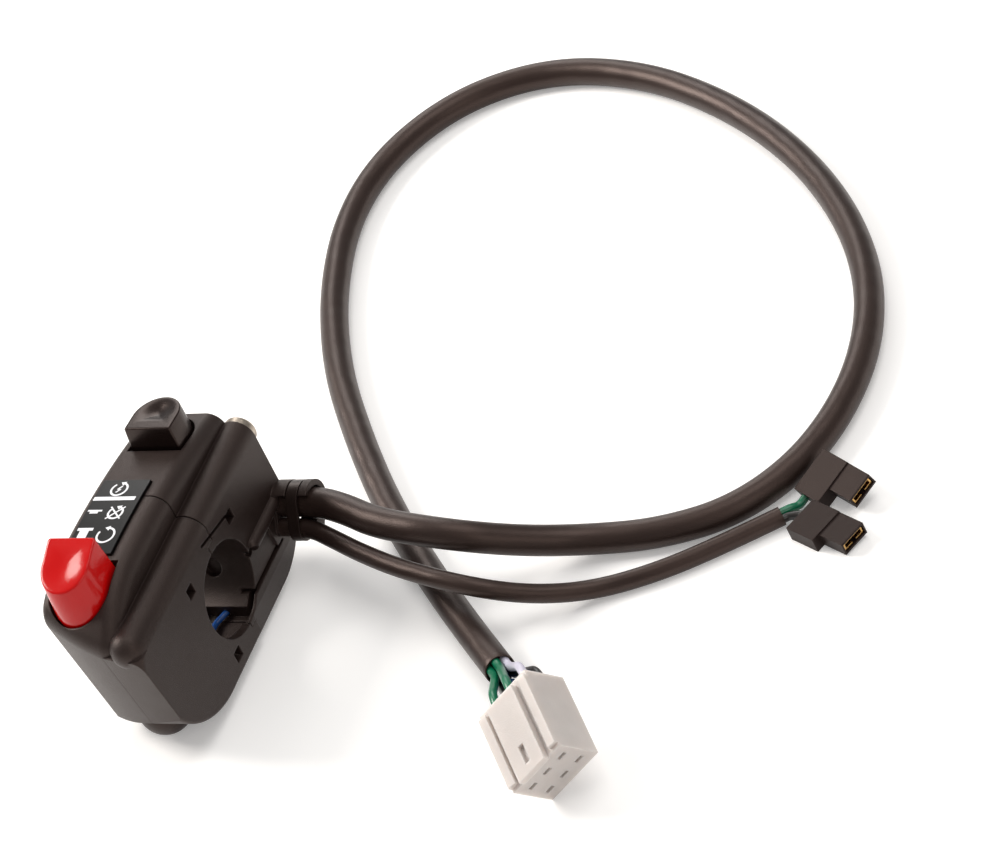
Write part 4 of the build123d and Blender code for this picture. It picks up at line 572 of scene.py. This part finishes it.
for name, ring in ringMarks.items():
    form = bmesh.new()
    centre = Vector((*ring["centre"], 0))
    outward = turned(ring["start"]) @ Vector((1, 0, 0))
    ends = [
        form.verts.new(centre + outward * (ring["radius"] + side * printing["line"] / 2))
        for side in (-1, 1)
    ]
    bmesh.ops.spin(
        form, geom=ends + [form.edges.new(ends)], cent=centre, axis=(0, 0, 1),
        angle=math.radians(ring["end"] - ring["start"]), steps=printing["ringSteps"],
    )
    tip = Matrix.Translation(centre) @ turned(ring["end"]) @ Matrix.Translation((ring["radius"], 0, 0))
    bmesh.ops.create_circle(
        form, segments=3, radius=printing["arrowRadius"], cap_ends=True,
        matrix=tip @ turned(printing["arrowLean"]),
    )
    printMark(name, form)
for name, bars in barMarks.items():
    form = bmesh.new()
    for middle, length, width, turn in bars:
        place = Matrix.Translation((*middle, 0)) @ turned(turn) @ Matrix.Diagonal((length, width, 1, 1))
        along, across = printing["barSteps"]
        bmesh.ops.create_grid(form, x_segments=along, y_segments=across, size=0.5, matrix=place)
    printMark(name, form)
print("stage: label marks printed")


# A roll of matt white paper for the floor, in metres
floorPlane = {
    "height": -19.3 * mm, "halfSide": 2.0, "colour": "f6f5f4", "rough": 0.9, "specular": 0.1,
    "glowColour": "ffffff", "glow": 0.22,
}
floorForm = bmesh.new()
bmesh.ops.create_grid(
    floorForm, x_segments=1, y_segments=1, size=floorPlane["halfSide"],
    matrix=Matrix.Translation((0, 0, floorPlane["height"])),
)
floorMesh = bpy.data.meshes.new("floor")
floorForm.to_mesh(floorMesh)
floorForm.free()
floor = bpy.data.objects.new("floor", floorMesh)
bpy.context.scene.collection.objects.link(floor)
floorMaterial = bpy.data.materials.new("mattPaper")
floorMaterial.use_nodes = True
floorShader = floorMaterial.node_tree.nodes["Principled BSDF"]
floorShader.inputs["Base Color"].default_value = srgb(floorPlane["colour"])
floorShader.inputs["Roughness"].default_value = floorPlane["rough"]
floorShader.inputs["Specular IOR Level"].default_value = floorPlane["specular"]
floorShader.inputs["Emission Color"].default_value = srgb(floorPlane["glowColour"])
# The glow is for the picture and its reflections only, so it lights nothing
floorTree = floorMaterial.node_tree
ray = addNode(floorTree, "ShaderNodeLightPath").outputs
mirrored = addNode(
    floorTree, "ShaderNodeMath", {0: ray["Is Glossy Ray"], 1: ray["Is Transmission Ray"]},
    operation="MAXIMUM",
)
seen = addNode(
    floorTree, "ShaderNodeMath", {0: ray["Is Camera Ray"], 1: mirrored.outputs[0]}, operation="MAXIMUM",
)
glow = addNode(
    floorTree, "ShaderNodeMath", {0: seen.outputs[0], 1: floorPlane["glow"]}, operation="MULTIPLY",
)
floorTree.links.new(glow.outputs[0], floorShader.inputs["Emission Strength"])
floorMesh.materials.append(floorMaterial)

# Square soft lights, placed in metres and aimed at the middle of the part
aim = Vector((0.055, 0.06, 0))
softLights = {
    "keyLight": {"place": (-1.0, 0.12, 0.8), "size": (0.6, 0.6), "power": 17, "colour": "fffaf4"},
    "topLight": {"place": (0.35, 0.3, 1.3), "size": (0.9, 0.9), "power": 7, "colour": "fffdfa"},
    "farLight": {"place": (-0.55, 1.1, 0.75), "size": (0.5, 0.9), "power": 5, "colour": "fffdfa"},
    "fillLight": {"place": (0.9, -0.6, 0.7), "size": (0.7, 0.7), "power": 2.5, "colour": "fff6ee"},
}
for name, setting in softLights.items():
    light = bpy.data.lights.new(name, "AREA")
    light.shape = "RECTANGLE"
    light.size, light.size_y = setting["size"]
    light.energy = setting["power"]
    light.color = srgb(setting["colour"])[:3]
    lamp = bpy.data.objects.new(name, light)
    bpy.context.scene.collection.objects.link(lamp)
    place = Vector(setting["place"])
    facing = (aim - place).to_track_quat("-Z", "Y").to_matrix().to_4x4()
    lamp.matrix_world = Matrix.Translation(place) @ facing

# A plain white surround
studio = {"colour": "ffffff", "strength": 0.38}
world = bpy.data.worlds.new("studio")
bpy.context.scene.world = world
world.use_nodes = True
worldTree = world.node_tree
worldTree.nodes.clear()
sky = addNode(
    worldTree, "ShaderNodeBackground",
    {"Color": srgb(studio["colour"]), "Strength": studio["strength"]},
)
worldOut = addNode(worldTree, "ShaderNodeOutputWorld")
worldTree.links.new(sky.outputs[0], worldOut.inputs["Surface"])

# The camera stands where the photograph was taken from, as worked out from points measured on it;
# its place, lens and sensor are in millimetres, and nearest is in metres
view = {
    "place": (431.587, -469.150, 499.533), "right": (0.88945, 0.30994, -0.33588),
    "back": (0.45638, -0.64163, 0.61647), "lens": 131.04, "sensor": 36, "nearest": 0.01,
}
cameraData = bpy.data.cameras.new("photoCamera")
cameraData.lens = view["lens"]
cameraData.sensor_width = view["sensor"]
cameraData.clip_start = view["nearest"]
camera = bpy.data.objects.new("photoCamera", cameraData)
bpy.context.scene.collection.objects.link(camera)
right, back = Vector(view["right"]).normalized(), Vector(view["back"]).normalized()
turn = Matrix((right, back.cross(right), back)).transposed().to_4x4()
camera.matrix_world = Matrix.Translation(Vector(view["place"]) * mm) @ turn
bpy.context.scene.camera = camera
bpy.context.scene.view_settings.view_transform = "Standard"
print("stage: light and camera set")
